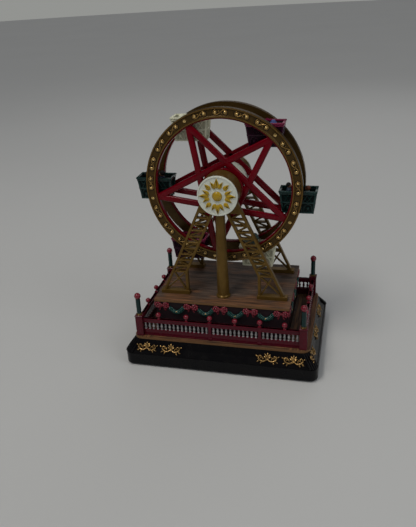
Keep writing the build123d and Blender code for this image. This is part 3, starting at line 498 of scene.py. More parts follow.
# Each finish: its tone, the shade it drifts to, its roughness, and what else it changes.
CLOTH = dict(size=500.0)
FINISHES = {
    "black_lacquer": ((0.004, 0.004, 0.005), (0.008, 0.007, 0.007), 0.24,
        dict(coat=0.04, dust=0.006, gloss=0.12)),
    "frieze_dark": ((0.014, 0.009, 0.011), (0.03, 0.012, 0.016), 0.5, dict(dust=0.01, gloss=0.15)),
    "bow_red": ((0.2, 0.016, 0.03), (0.08, 0.004, 0.01), 0.24,
        dict(size=700.0, coat=0.35, dust=0.0, gloss=0.4)),
    "garland_green": ((0.008, 0.062, 0.052), (0.002, 0.018, 0.016), 0.24,
        dict(size=700.0, coat=0.4, dust=0.0, gloss=0.4)),
    "dark_red": ((0.085, 0.005, 0.013), (0.042, 0.002, 0.006), 0.26,
        dict(coat=0.15, size=260.0, dust=0.01, gloss=0.15)),
    "silver_white": ((0.4, 0.38, 0.38), (0.15, 0.135, 0.14), 0.32,
        dict(size=500.0, metallic=0.25, uneven=0.9)),
    "antique_gold": ((0.15, 0.086, 0.018), (0.075, 0.04, 0.008), 0.34,
        dict(metallic=0.4, dust=0.01, size=170.0)),
    "lamp_green": ((0.003, 0.026, 0.024), (0.0015, 0.011, 0.011), 0.22, dict(coat=0.2, dust=0.01)),
    "cream_white": ((0.7, 0.72, 0.63), (0.52, 0.56, 0.48), 0.38,
        dict(uneven=0.4, size=200.0, dust=0.0)),
    "brass": ((0.5, 0.34, 0.12), (0.34, 0.22, 0.07), 0.28, dict(metallic=0.95, dust=0.0)),
    "steel": ((0.5, 0.5, 0.5), (0.36, 0.36, 0.37), 0.3, dict(metallic=0.95, dust=0.0)),
    "bronze": ((0.075, 0.042, 0.01), (0.036, 0.019, 0.004), 0.3,
        dict(metallic=0.4, dust=0.0, size=150.0)),
    "star_red": ((0.145, 0.0005, 0.006), (0.075, 0.0003, 0.0035), 0.2,
        dict(coat=0.1, dust=0.0, size=140.0, gloss=0.12)),
    "gear_white": ((0.62, 0.6, 0.54), (0.5, 0.48, 0.42), 0.4, dict(dust=0.0)),
    "foot_pad": ((0.02, 0.02, 0.02), (0.035, 0.035, 0.035), 0.75, dict(dust=0.05)),
    "tub_green": ((0.002, 0.028, 0.025), (0.001, 0.01, 0.009), 0.18,
        dict(coat=0.35, size=300.0, dust=0.008)),
    "tub_red": ((0.032, 0.002, 0.017), (0.014, 0.001, 0.008), 0.25,
        dict(coat=0.15, size=300.0, dust=0.008)),
    "tub_cream": ((0.76, 0.74, 0.56), (0.42, 0.47, 0.33), 0.42, dict(size=260.0, dust=0.0)),
    "figures": ((0.03, 0.05, 0.08), (0.015, 0.025, 0.04), 0.42, CLOTH),
    "ball_red": ((0.2, 0.012, 0.026), (0.11, 0.005, 0.012), 0.22,
        dict(coat=0.35, size=400.0, dust=0.0, gloss=0.4)),
    # Painted highlight: a lighter gold for the raised lips of the rims, standing for the light that
    # they catch.
    "rim_lip_highlight_gold": ((0.17, 0.095, 0.024), (0.085, 0.045, 0.011), 0.26,
        dict(metallic=0.5, dust=0.0, size=260.0)),
    # Painted shade: a near-black for the flat strand under each scroll and the disc round each
    # bead, standing for the shadow in the relief and a little dark patina.
    "scroll_painted_shade": ((0.012, 0.007, 0.002), (0.03, 0.017, 0.005), 0.5,
        dict(size=420.0, dust=0.0)),
    # Painted highlight: a bronze lighter than the rim's, for the raised scrolls that catch the
    # light.
    "scroll_highlight_bronze": ((0.34, 0.2, 0.055), (0.13, 0.07, 0.018), 0.25,
        dict(metallic=0.6, size=420.0, dust=0.0, gloss=0.5)),
    "bright_gold": ((0.85, 0.6, 0.24), (0.5, 0.3, 0.09), 0.2,
        dict(metallic=0.85, size=420.0, dust=0.0, gloss=0.5)),
    "petal_gold": ((0.46, 0.29, 0.01), (0.24, 0.14, 0.005), 0.28,
        dict(size=420.0, coat=0.2, dust=0.0, gloss=0.4)),
    "collar_gold": ((0.12, 0.07, 0.018), (0.06, 0.032, 0.009), 0.36,
        dict(metallic=0.4, size=420.0, dust=0.0)),
    "leaf_gold": ((0.6, 0.36, 0.12), (0.03, 0.016, 0.006), 0.24,
        dict(metallic=0.6, size=900.0, uneven=1.0, dust=0.0, gloss=0.5)),
    "lip_rose": ((0.2, 0.012, 0.055), (0.1, 0.005, 0.028), 0.28,
        dict(coat=0.2, size=300.0, dust=0.01)),
    # Painted shade: darker copies of the tub colours, for the shell and seats inside each tub,
    # standing for the shade that shows through the openwork.
    "tub_wall_shade_green": ((0.0006, 0.0055, 0.005), (0.0003, 0.002, 0.002), 0.4,
        dict(size=300.0, dust=0.0, gloss=0.1)),
    "tub_wall_shade_red": ((0.012, 0.0008, 0.007), (0.005, 0.0004, 0.003), 0.4,
        dict(size=300.0, dust=0.0, gloss=0.1)),
    "tub_wall_shade_cream": ((0.44, 0.42, 0.3), (0.24, 0.27, 0.18), 0.45, dict(size=260.0, dust=0.0)),
    "figure_skin": ((0.3, 0.15, 0.09), (0.2, 0.09, 0.05), 0.45, dict(size=500.0, uneven=0.3)),
    "figure_hair_black": ((0.008, 0.007, 0.008), (0.02, 0.016, 0.014), 0.35,
        dict(size=700.0, dust=0.0)),
    "figure_hair_russet": ((0.16, 0.045, 0.02), (0.08, 0.02, 0.01), 0.4, dict(size=700.0)),
    "coat_blue": ((0.03, 0.06, 0.16), (0.015, 0.03, 0.09), 0.4, CLOTH),
    "coat_navy": ((0.012, 0.018, 0.055), (0.006, 0.009, 0.03), 0.4, CLOTH),
    "coat_rose": ((0.2, 0.02, 0.05), (0.11, 0.01, 0.025), 0.4, CLOTH),
    "hat_blue": ((0.06, 0.09, 0.26), (0.03, 0.045, 0.14), 0.38, CLOTH),
    "hat_teal": ((0.1, 0.16, 0.15), (0.06, 0.1, 0.09), 0.42, CLOTH),
    "sash_cream": ((0.36, 0.33, 0.24), (0.24, 0.2, 0.14), 0.45, CLOTH),
}
paint = {name: plastic(name, *row[:3], **row[3]) for name, row in FINISHES.items()}
DECK = [
    ("Board", (0.125, 0.083, 0.06, 1)),
    ("Grain", (0.038, 0.025, 0.02, 1)),
    ("Warm", (0.24, 0.105, 0.042, 1)),
    ("Edge", (0.15, 0.075, 0.03, 1)),
    ("Width", 2.3),
]
paint["deck_brown"] = surface("deck_boards_brown", BOARDS, DECK, 0.8, distance=0.00012)
for name, cad in frame["nodes"].items():
    for slot in cad.material_slots:
        slot.material = paint[node_slot[name]]

# ---- places on the toy
AXLE_Z = 111.0
BAND_R = 45.1  # the middle of a rim's flat band
RIM_FACE = 9.8  # the rim's outer face, from the middle of the wheel
STAR_TURN = 45.5
STAR_REACH = 41.75
TIPS = [STAR_TURN + 72 * k for k in range(5)]
TUBS = ["right", "top_right", "top_left", "left", "bottom_left", "bottom_right"]
PIN_R, PIN_TURN = 44.65, -4
PINS = {}
for k, tub in enumerate(TUBS):
    angle = math.radians(60 * k + PIN_TURN)
    PINS[tub] = (PIN_R * math.cos(angle), PIN_R * math.sin(angle))


def about_axle(angle, radius, y):
    """From a drawing in X and Z facing -Y to a place on the wheel, its top outward."""
    return shift(0, y, AXLE_Z) @ turn(90 - angle, "Y") @ shift(0, 0, radius)


BACK = turn(180, "Z")
LIE_FRONT = turn(90, "X")  # lays a form turned about Z so that its top faces -Y

# ---- wheel: scrolls, beads and rivets
CURL = [
    (0, 0, 0), (1.0, 0, 0.75), (2.3, 0, 1.3), (3.6, 0, 0.85), (3.95, 0, -0.35), (3.0, 0, -1.2),
    (1.9, 0, -0.75),
]
half_scroll = tube("scroll_half", CURL, 0.4, 3, [0.95, 1.1, 1.1, 1.0, 0.9, 0.75, 0.6])
other_half = copy_of(half_scroll, "scroll_half_2", turn(180, "Y"))
scroll = joined("scroll", [half_scroll, other_half])
# A flattened dark strand under each scroll: painted shade along the raised scroll, with a little
# dark patina.
shade_strand = copy_of(scroll, "scroll_shade_strand", scaled(1.04, 0.3, 1.14))
edit(shade_strand)
bpy.ops.transform.shrink_fatten(value=0.34 * MM)
deselect()
moved(shade_strand, scaled(1, 0.35, 1))
# The scroll takes a lighter bronze than the rim, a painted highlight; the strand under it takes
# painted shade.
ends = [painted(scroll, "scroll_highlight_bronze"), painted(shade_strand, "scroll_painted_shade")]
for side in (-1, 1):
    x, z = side * 2.85, side * 0.05
    ball = bead("scroll_bead", (x, -0.2, z), (0.86, 0.62, 0.86), 16, 10)
    ends.append(painted(ball, "bright_gold"))
    # A thin dark disc round each bead: painted shade in the hollow round the bead.
    seat = turned("bead_shade_ring", [(0, 1.62), (0.12, 1.62), (0.18, 1.45)], 20)
    moved(seat, shift(x, 0, z) @ LIE_FRONT)
    ends.append(painted(smoothed(seat, 40), "scroll_painted_shade"))
    drop = bead("scroll_drop", (side * 0.85, -0.05, side * -0.55), (0.5, 0.26, 0.32), 10, 6)
    ends.append(painted(drop, "scroll_highlight_bronze"))
scroll = smoothed(joined("scroll", ends), 60)
rivet = painted(bead("rivet", (0, 0, 0), (0.7, 0.45, 0.7), 14, 8), "bright_gold")
rivet_foot = painted(turned("rivet_foot", [(0, 1.0), (0.22, 0.95), (0.3, 0.75)], 16), "bright_gold")
rivet = smoothed(joined("rivet", [rivet, moved(rivet_foot, LIE_FRONT)]), 50)
for side, facing, way in (("front", Matrix(), 1), ("rear", BACK, -1)):
    made = []
    for tip in TIPS:
        angle = tip if way > 0 else 180 - tip
        for step in (12, 28, 44, 60):
            place = facing @ about_axle(angle + way * step, BAND_R, -RIM_FACE)
            made.append(copy_of(scroll, "scroll_copy", place))
        place = facing @ about_axle(angle, BAND_R + 0.2, -RIM_FACE)
        made.append(copy_of(rivet, "rivet_copy", place))
    work = joined(side + "_rim_scrolls", made)
    seated(work, body="wheel")
discard(scroll, rivet)
# Thin raised rings on each rim's inner and outer lip, in a lighter gold that is painted highlight.
for side, way in (("front", 1), ("rear", -1)):
    lips = []
    for r in (42.55, 47.55):
        section = [(r + 0.4, 10.1), (r + 0.3, 10.35), (r - 0.3, 10.35), (r - 0.4, 10.1)]
        lip = turned_ring("rim_lip_edge", section, 120)
        lips.append(moved(lip, shift(0, 0, AXLE_Z) @ turn(90 * way, "X")))
    work = painted(smoothed(joined(side + "_rim_lip_edges", lips), 50), "rim_lip_highlight_gold")
    seated(work, body="wheel")


def star_work(name, back):
    """Five crossing bars with rounded faces, a hub plate and the hoop in the rim, facing -Y."""
    middle = STAR_REACH * math.cos(math.radians(72))
    half = STAR_REACH * math.sin(math.radians(72))
    made = []
    for k in range(5):
        low, high = (-half, -9.7 + 0.04 * k, middle - 1.9), (half, -7.0, middle + 1.9)
        beam = bar("star_bar", low, high, 0.85, 4)
        place = shift(0, 0, AXLE_Z) @ turn(90 - STAR_TURN - 72 * k, "Y")
        made.append(copy_of(beam, "star_bar_placed", place))
        discard(beam)
    for section in (
        [(1.6, 7.0), (12.7, 7.0), (12.7, 9.2), (12.3, 9.6), (11.4, 9.6), (11.1, 9.2), (1.6, 9.2)],
        [(41.35, 7.0), (42.2, 7.0), (42.2, 9.5), (41.8, 9.7), (41.35, 9.5)],
    ):
        ring = turned_ring("star_ring", section, 110)
        made.append(moved(ring, shift(0, 0, AXLE_Z) @ LIE_FRONT))
    work = painted(joined(name + "_work", made), "star_red")
    if back:
        moved(work, scaled(1, -1, 1))
    return seated(smoothed(work, 50), [name])


star_work("front_star", False)
star_work("rear_star", True)
for name in ("front_left_leg", "front_right_leg", "rear_left_leg", "rear_right_leg"):
    eased(name, 0.18)
for name in ("lower_deck", "upper_deck", "lamp_pedestals", "crank_arm"):
    eased(name, 0.22)


# ---- gondolas
def tapered(piece):
    """Narrow the tub body towards its floor, below the pin."""
    for point in piece.data.vertices:
        depth = min(1.0, max(0.0, (-1.1 - point.co.z / MM) / 11.9))
        point.co.x *= 1 - 0.14 * depth
        point.co.y *= 1 - 0.165 * depth
    piece.data.update()
    return piece


def frame_of_bars(name, half_x, half_y, low, high, wide, ease=0.18):
    """Four bars that go round the tub."""
    inner = half_y - wide * 0.5
    spans = [
        ("_f", (-half_x, -half_y), (half_x, -half_y + wide)),
        ("_b", (-half_x, half_y - wide), (half_x, half_y)),
        ("_l", (-half_x, -inner), (-half_x + wide, inner)),
        ("_r", (half_x - wide, -inner), (half_x, inner)),
    ]
    bars = [bar(name + part, (*near, low), (*far, high), ease) for part, near, far in spans]
    return joined(name, bars)


def tub_shell():
    """The open box of a gondola: a cube opened at the top, its walls left standing."""
    shell = bar("tub_shell", (-10.7, -5.4, -13.0), (10.7, 5.4, 0.0))
    edit(shell)
    pick_faces(shell, lambda c, n: n.z > 0.9)
    bpy.ops.mesh.inset(thickness=0.9 * MM)
    bpy.ops.mesh.extrude_region_move(TRANSFORM_OT_translate={"value": (0, 0, -12.0 * MM)})
    upright = 1e-6
    pick_edges(
        shell,
        lambda a, b: abs(a.x - b.x) < upright and abs(a.y - b.y) < upright and abs(a.x) > 10.6 * MM,
    )
    bpy.ops.mesh.bevel(offset=0.7 * MM, segments=3)
    deselect()
    return bevelled(shell, 0.15, 2, 50)


def mirrored_arch(side, crown):
    """An arch drawn up one side, over its crown and down the other side."""
    return [(-a, z) for a, z in side] + [(0, crown)] + side[::-1]


def tub_dress():
    """Bands, corner posts, arches and lattice of a gondola."""
    made = [
        frame_of_bars("mid_band", 11.05, 5.75, -6.6, -5.6, 0.7),
        frame_of_bars("base_band", 11.05, 5.75, -13.0, -11.9, 0.8),
    ]
    for sx in (-1, 1):
        for sy in (-1, 1):
            x, y = sx * 10.35, sy * 5.05
            low, high = (x - 0.6, y - 0.6, -12.4), (x + 0.6, y + 0.6, -0.9)
            made.append(bar("corner_post", low, high, 0.25))
            made.append(bead("corner_drop", (x, y, -12.6), (0.75, 0.75, 0.6), 10, 6))
    for y in (-5.5, 5.5):
        for x in (-6.6, 0.0, 6.6):
            line = mirrored_arch([(2.5, -11.7), (2.5, -9.3), (1.5, -7.6)], -7.0)
            arch = [(x + a, y, z) for a, z in line]
            made.append(tube("arch", arch, 0.3, 2))
            made.append(bead("arch_flower", (x, y, -9.6), (0.95, 0.35, 0.95), 10, 6))
            for lean in (-1, 1):
                stem = [(x, y, -10.2), (x + lean * 0.9, y, -11.0), (x + lean * 1.1, y, -11.9)]
                made.append(tube("arch_stem", stem, 0.2, 2))
        for x in (-8.4, -5.6, -2.8, 0.0, 2.8, 5.6):
            made.append(tube("lattice", [(x, y, -5.6), (x + 2.8, y, -1.4)], 0.22, 2))
            made.append(tube("lattice", [(x + 2.8, y, -5.6), (x, y, -1.4)], 0.22, 2))
    for x in (-10.8, 10.8):
        arch = [(x, a, z) for a, z in mirrored_arch([(3.0, -11.7), (3.0, -9.2), (1.8, -7.5)], -6.9)]
        made.append(tube("end_arch", arch, 0.3, 2))
        made.append(bead("end_flower", (x, 0, -9.4), (0.35, 1.1, 1.1), 10, 6))
        for y in (-4.2, -1.4, 1.4):
            made.append(tube("end_lattice", [(x, y, -5.6), (x, y + 2.8, -1.4)], 0.22, 2))
            made.append(tube("end_lattice", [(x, y + 2.8, -5.6), (x, y, -1.4)], 0.22, 2))
    return joined("tub_dress", made)


def tub_lip():
    """The stepped frame round the mouth, with an ear for each pin."""
    made = [
        frame_of_bars("lip_top", 11.5, 6.2, 0.1, 1.1, 1.5, 0.25),
        frame_of_bars("lip_under", 11.15, 5.85, -1.1, 0.15, 1.0, 0.25),
    ]
    for x in (-9.4, -6.3, -3.2, 3.2, 6.3, 9.4):
        for sy in (-1, 1):
            made.append(bead("lip_bead", (x, sy * 5.95, -0.45), (0.42, 0.3, 0.42), 8, 6))
    for sy in (-1, 1):
        boss = turned("pin_boss", [(5.0, 1.55), (6.0, 1.55), (6.2, 1.3)], 20)
        made.append(moved(boss, turn(sy * -90, "X")))
    return joined("tub_lip", made)


def tub_seats():
    """Two facing benches with backs."""
    made = []
    for sx in (-1, 1):
        for name, near, far, half_y, low, high, ease in (
            ("bench", 4.2, 8.9, 3.9, -9.0, -7.6, 0.3),
            ("bench_skirt", 4.4, 5.2, 3.8, -12.2, -8.8, 0.15),
            ("bench_back", 8.5, 9.3, 4.0, -8.0, -1.6, 0.3),
        ):
            left, right = sorted((sx * near, sx * far))
            made.append(bar(name, (left, -half_y, low), (right, half_y, high), ease))
    return joined("tub_seats", made)


tub_walls = outward(tapered(joined("tub_walls", [tub_shell(), tub_seats()])))
tub_work = outward(tapered(tub_dress()))
lip_master = outward(tub_lip())
for piece in (tub_walls, tub_work, lip_master):
    smoothed(piece, 40)
# Shell and seats take the darker wall finish: painted shade inside the tub, behind the lattice.
wall_shade_finish = {
    "tub_green": "tub_wall_shade_green",
    "tub_red": "tub_wall_shade_red",
    "tub_cream": "tub_wall_shade_cream",
}
for name, (px, pz) in PINS.items():
    cad_name = name + "_gondola"
    finish = node_slot[cad_name]
    place = shift(px, 0, AXLE_Z + pz)
    walls = painted(copy_of(tub_walls, name + "_tub_walls", place), wall_shade_finish[finish])
    dress = painted(copy_of(tub_work, name + "_tub_dress", place), finish)
    seated(joined(name + "_tub", [walls, dress]), [cad_name])
    lip = copy_of(lip_master, name + "_tub_lip", place)
    seated(painted(lip, "lip_rose" if finish == "tub_red" else finish), [cad_name])
discard(tub_walls, tub_work, lip_master)


# ---- passengers
SEAT_Z = -7.6
BODICE = [(-5.0, 2.4), (-2.6, 1.75), (-1.2, 1.95), (-0.1, 2.15), (0.7, 1.7), (1.1, 0.8)]
BRIM = [(3.35, 1.55), (3.45, 2.05), (3.65, 2.05), (3.8, 1.5), (4.5, 1.35), (4.95, 0.8)]


def passenger(name, side, coat, head, hair, hat, x=5.6, sink=0.0, size=1.0):
    """A seated figure: skirted body, shoulders, arms, collar, head, and hair or a round hat."""
    seat = (sink - 1.0) / size + SEAT_Z
    torso = turned("torso", [(seat, 2.5)] + [step for step in BODICE if step[0] > seat + 0.3], 18)
    moved(torso, scaled(0.86, 1.12, 1))
    lap = bead("lap", (-side * 1.6, 0, -6.2), (2.1, 2.3, 1.3), 14, 8)
    parts = [painted(torso, coat), painted(lap, coat)]
    for sy in (-1, 1):
        line = [(0, sy * 2.1, 0.2), (-side * 0.5, sy * 2.75, -1.8)]
        line += [(-side * 1.5, sy * 2.1, -3.8), (-side * 2.6, sy * 0.9, -4.2)]
        parts.append(painted(tube("arm", line, 0.72, 4, [1.0, 1.0, 0.9, 0.7]), coat))
        hand = bead("hand", (-side * 2.8, sy * 0.75, -4.2), (0.6, 0.55, 0.5), 10, 6)
        parts.append(painted(hand, "figure_skin"))
    collar = turned("collar", [(0.6, 1.5), (0.95, 1.55), (1.2, 1.2)], 16)
    parts.append(painted(collar, "sash_cream" if hat else coat))
    parts.append(painted(bead("head", (0, 0, 2.75), (1.62, 1.52, 1.75), 18, 12), head))
    parts.append(painted(bead("nose", (-side * 1.6, 0, 2.65), (0.3, 0.26, 0.34), 8, 6), head))
    if hat:
        parts.append(painted(turned("brim", BRIM, 20), hat))
    else:
        cap = bead("hair", (side * 0.3, 0, 3.15), (1.75, 1.72, 1.75), 18, 10)
        parts.append(painted(cap, hair))
        parts.append(painted(bead("bun", (side * 1.5, 0, 3.0), (0.75, 0.8, 0.85), 10, 8), hair))
    place = shift(side * x, 0, SEAT_Z - sink) @ scaled(size, size, size) @ shift(0, 0, -SEAT_Z)
    return smoothed(moved(joined(name, parts), place), 50)


# Two to each tub: coat, head, hair, hat, distance from the pin, how low they sit, size.
FACE, DARK, RUSSET = "figure_skin", "figure_hair_black", "figure_hair_russet"
all_cream = ("tub_cream", "tub_cream", "tub_cream", None, 5.6)
riders = {
    "right": (
        ("figures", FACE, DARK, None, 5.9, -1.6, 0.86),
        ("hat_teal", FACE, RUSSET, None, 5.2, 0.0, 0.86),
    ),
    "top_right": (
        ("coat_rose", FACE, RUSSET, None, 5.6, 4.0),
        ("coat_navy", "hat_blue", "hat_blue", "hat_blue", 4.4, 3.2),
    ),
    "top_left": ((*all_cream, 2.8), (*all_cream, 3.6)),
    "left": (
        ("figures", FACE, DARK, None, 5.6, 1.5),
        ("coat_navy", FACE, DARK, None, 3.8, 0.6),
    ),
    "bottom_left": (
        ("coat_rose", FACE, DARK, None, 5.6, 2.0),
        ("coat_blue", FACE, RUSSET, None, 5.6, 2.0),
    ),
    "bottom_right": (
        ("hat_teal", "hat_teal", "hat_teal", None, 1.8, 0.6, 1.28),
        ("coat_navy", "hat_teal", "hat_teal", "hat_teal", 6.2, 3.6),
    ),
}
for name, (px, pz) in PINS.items():
    pair = [passenger(name + "_rider", s, *who) for s, who in zip((-1, 1), riders[name])]
    both = moved(joined(name + "_riders", pair), shift(px, 0, AXLE_Z + pz))
    seated(both, [name + "_passengers"])


# ---- hub ornament
def petal(name, inner, outer, width, height, finish, ease):
    """A pointed leaf, widest near its foot, with a raised spine."""
    span = outer - inner
    half = width / 2
    side = [(0.7, 0.1), (1.0, 0.32), (0.8, 0.55), (0.36, 0.8)]
    right = [(half * a, inner + span * b) for a, b in side]
    left = [(-x, z) for x, z in reversed(right)]
    leaf = plate(name, [(0, inner), *right, (0, outer), *left], height * 0.5)
    edit(leaf)
    pick_faces(leaf, lambda c, n: n.y < -0.9)
    bpy.ops.mesh.inset(thickness=half * 0.62 * MM)
    bpy.ops.transform.translate(value=(0, -height * 0.5 * MM, 0))
    deselect()
    if ease:
        bevelled(leaf, ease, 2, 50)
    return painted(smoothed(leaf, 35), finish)


HUB_FACE = shift(0, -24.3, AXLE_Z)
flower = []
rays = [(90 * k, 0, 4.9, 11.0, 3.0) for k in range(4)]
rays += [(90 * k + lean, lean * 1.8, 4.7, 9.6, 2.5) for k in range(4) for lean in (-12, 12)]
rays += [(90 * k + 45, 0, 5.6, 10.2, 2.9) for k in range(4)]
for angle, flare, r0, r1, width in rays:
    out_turn = turn(90 - angle, "Y")
    place = HUB_FACE @ out_turn @ shift(0, 0, r0) @ turn(-flare, "Y") @ shift(0, 0, -r0)
    border = petal("petal_border", r0 - 0.4, r1 + 0.55, width + 1.1, 0.36, "cream_white", 0)
    leaf = petal("petal", r0, r1, width, 1.0, "petal_gold", 0.08)
    for piece in (border, leaf):
        flower.append(copy_of(piece, piece.name + "_placed", place))
    discard(border, leaf)
DOME = [(0, 2.95), (0.3, 2.95), (0.7, 2.75), (1.1, 2.3), (1.4, 1.7), (1.62, 1.0), (1.7, 0.35)]
dome = smoothed(moved(turned("dome", DOME, 40), HUB_FACE @ LIE_FRONT), 50)
flower.append(painted(dome, "petal_gold"))
ring = turned_ring("dome_border", [(2.95, 0), (3.7, 0), (3.55, 0.28), (3.05, 0.28)], 48)
flower.append(painted(smoothed(moved(ring, HUB_FACE @ LIE_FRONT), 40), "cream_white"))
seated(joined("hub_flower", flower), ["hub_ornament"])

# ---- fence
FX, FY = 52.2, 34.8
RAIL_LOW, RAIL_TOP, TOP_LOW, TOP_TOP = 19.0, 23.5, 28.4, 31.2
FINIAL = [
    (31.0, 0.95), (31.35, 0.95), (31.5, 0.5), (32.5, 0.5), (32.75, 0.85), (33.0, 1.3), (33.6, 1.65),
    (34.2, 1.72), (34.9, 1.5), (35.45, 1.0), (35.7, 0.35),
]
finial_master = painted(smoothed(turned("finial", FINIAL, 20), 45), "ball_red")


def fence_post(x, y):
    """A squared post with a stepped foot below the rail and a ball on its head."""
    made = []
    for name, half_x, half_y, low, high, ease in (
        ("post", 0.95, 1.15, RAIL_LOW, 31.6, 0.2),
        ("post_foot", 1.35, 1.45, RAIL_LOW, RAIL_LOW + 2.2, 0.3),
        ("post_cap", 1.2, 1.3, 31.2, 31.8, 0.2),
    ):
        piece = bar(name, (x - half_x, y - half_y, low), (x + half_x, y + half_y, high), ease)
        made.append(painted(piece, "dark_red"))
    made.append(copy_of(finial_master, "post_ball", shift(x, y, 0.5)))
    return made


def fence_rails(start, end, along_x):
    """A deep bottom rail with two mouldings and a rounded top rail."""
    (x0, y0), (x1, y1) = start, end
    made = []
    for low, high, wide in (
        (RAIL_LOW, RAIL_TOP, 0.8),
        (RAIL_LOW, RAIL_LOW + 0.9, 1.1),
        (RAIL_TOP - 0.75, RAIL_TOP, 1.1),
        (TOP_LOW, TOP_TOP, 0.95),
        (TOP_TOP - 0.8, TOP_TOP, 1.2),
        (TOP_LOW, TOP_LOW + 0.5, 1.1),
    ):
        if along_x:
            corners = ((x0, y0 - wide, low), (x1, y0 + wide, high))
        else:
            corners = ((x0 - wide, y0, low), (x0 + wide, y1, high))
        made.append(painted(bar("rail", *corners, 0.22), "dark_red"))
    return made


def fence(name, nodes, runs, posts, finials):
    made = []
    for start, end, along_x in runs:
        made += fence_rails(start, end, along_x)
    for x, y in posts:
        made += fence_post(x, y)
    for x, y in finials:
        made.append(copy_of(finial_master, "finial_copy", shift(x, y, 0)))
    return seated(smoothed(joined(name, made), 40), nodes)


fence(
    "front_fence_work",
    ["front_fence"],
    [((-FX + 2.2, -FY), (FX - 2.2, -FY), True)],
    [(-0.115 * FX, -FY), (0.488 * FX, -FY)],
    [(s * FX, -FY) for s in (-0.755, -0.405, 0.19, 0.78)],
)
fence(
    "rear_fence_work",
    ["rear_fence"],
    [((7.6, FY), (FX - 2.2, FY), True), ((-FX + 2.2, FY), (-7.6, FY), True)],
    [(-8.5, FY), (8.5, FY)],
    [(s * FX, FY) for s in (-0.78, -0.48, 0.48, 0.78)],
)
fence(
    "side_fences_work",
    ["side_fences"],
    [((s * FX, -FY + 2.2), (s * FX, FY - 2.2), False) for s in (-1, 1)],
    [(-FX, 0), (FX, 0)],
    [(s * FX, t * FY) for s in (-1, 1) for t in (-0.5, 0.5)],
)
discard(finial_master)
SPINDLE = [
    (23.4, 0.82), (23.9, 0.82), (24.15, 0.4), (24.7, 0.62), (25.5, 0.86), (26.5, 0.66),
    (27.6, 0.38), (27.85, 0.8), (28.5, 0.8),
]
spindle = turned("spindle", SPINDLE, 8)
made = []
for low, high in places("fence_balusters"):
    x, y = (low[0] + high[0]) / 2, (low[1] + high[1]) / 2
    made.append(copy_of(spindle, "spindle_copy", shift(x, y, 0)))
discard(spindle)
work = painted(joined("fence_spindles", made), "silver_white")
work.data.materials.append(paint["dark_red"])
for face in work.data.polygons:
    face.material_index = 1 if face.center.y > (FY - 1.5) * MM else 0
seated(smoothed(work, 50), ["fence_balusters"])

# ---- lamp posts
LAMP_BALL = [
    (44.9, 1.0), (45.05, 1.15), (45.3, 1.45), (45.8, 1.85), (46.6, 2.08), (47.4, 2.0),
    (48.1, 1.62), (48.6, 1.02), (48.82, 0.35),
]
LAMP_TIP = [(48.7, 0.4), (48.95, 0.42), (49.15, 0.2)]
COLLAR = [(33.6, 1.9), (33.9, 1.95), (34.1, 1.7), (34.35, 1.8), (34.55, 1.7), (34.7, 1.55)]
made = []
collars = []
for x in (-FX, FX):
    for y in (-FY, FY):
        made.append(turned("lamp_ball", LAMP_BALL, 28, x, y))
        made.append(turned("lamp_tip", LAMP_TIP, 12, x, y))
        collars.append(turned("lamp_collar", COLLAR, 28, x, y))
balls = painted(joined("lamp_ball_work", made), "ball_red")
seated(smoothed(balls, 50), ["lamp_balls"])
collars = painted(joined("lamp_collar_work", collars), "collar_gold")
seated(smoothed(collars, 40), ["lamp_collars"])


# ---- frieze
def bow():
    """Two knobbly rosette loops, a knot and two tails with forked ends, facing -Y."""
    parts = []
    for side in (-1, 1):
        x, z = side * 2.6, 0.2
        deselect()
        bpy.ops.mesh.primitive_torus_add(
            major_segments=20,
            minor_segments=8,
            major_radius=1.4 * MM,
            minor_radius=0.75 * MM,
            location=(x * MM, -0.35 * MM, z * MM),
            rotation=(math.pi / 2, 0, side * 0.3),
        )
        parts.append(settle(named("bow_loop")))
        for k in range(7):
            angle = 2 * math.pi * (k + 0.5) / 7
            place = (x + 1.65 * math.cos(angle), -0.85, z + 1.6 * math.sin(angle))
            parts.append(bead("bow_fold", place, (0.78, 0.65, 0.78), 10, 6))
        parts.append(bead("bow_eye", (x, -0.55, z), (0.85, 0.95, 0.85), 10, 6))
        tail = [(0.4, -0.25, -0.4), (1.1, -0.35, -1.5), (1.5, -0.25, -2.5), (1.8, -0.2, -3.4)]
        tail = [(side * x, y, z) for x, y, z in tail]
        parts.append(tube("bow_tail", tail, 0.5, 3, [0.8, 1.1, 1.05, 0.8]))
        for k, fall in enumerate((-1.9, -2.9)):
            place = (side * (1.3 + 0.3 * k), -0.55, fall)
            parts.append(bead("tail_fold", place, (0.5, 0.35, 0.42), 8, 6))
        parts.append(bead("bow_fork", (side * 1.9, -0.2, -3.5), (0.65, 0.35, 0.45), 8, 6))
    parts.append(bead("bow_knot", (0, -0.65, 0.1), (0.85, 0.7, 0.95), 14, 8))
    return painted(smoothed(joined("bow", parts), 60), "bow_red")


def garland():
    """A sagging rope of leaves with a gold drop at its lowest point, facing -Y."""
    half = [(1.8, -0.6, 0.1), (3.5, -0.5, 1.3), (4.6, -0.3, 3.3)]
    line = [(-x, y, z) for x, y, z in reversed(half)] + [(0, -0.65, -0.3)] + half
    parts = [tube("garland_rope", line, 0.85, 3, [0.6, 1.0, 1.15, 1.2, 1.15, 1.0, 0.6])]
    for k in range(-6, 7):
        x = k * 0.7
        z = -0.3 + 3.4 * (x / 4.6) ** 2
        slope = math.degrees(math.atan(6.8 * x / 21.2))
        for lift in (-1, 0, 1):
            place = (0.2, -1.25 + 0.4 * abs(lift), lift * 1.15)
            leaf = bead("leaf", place, (0.8, 0.5, 0.5), 8, 6)
            parts.append(moved(leaf, shift(x, 0, z) @ turn(-slope + lift * 30, "Y")))
    work = painted(joined("garland", parts), "garland_green")
    drop = bead("garland_drop", (0, -1.45, 0.1), (0.5, 0.35, 0.5), 12, 8)
    return smoothed(joined("garland", [work, painted(drop, "bright_gold")]), 60)


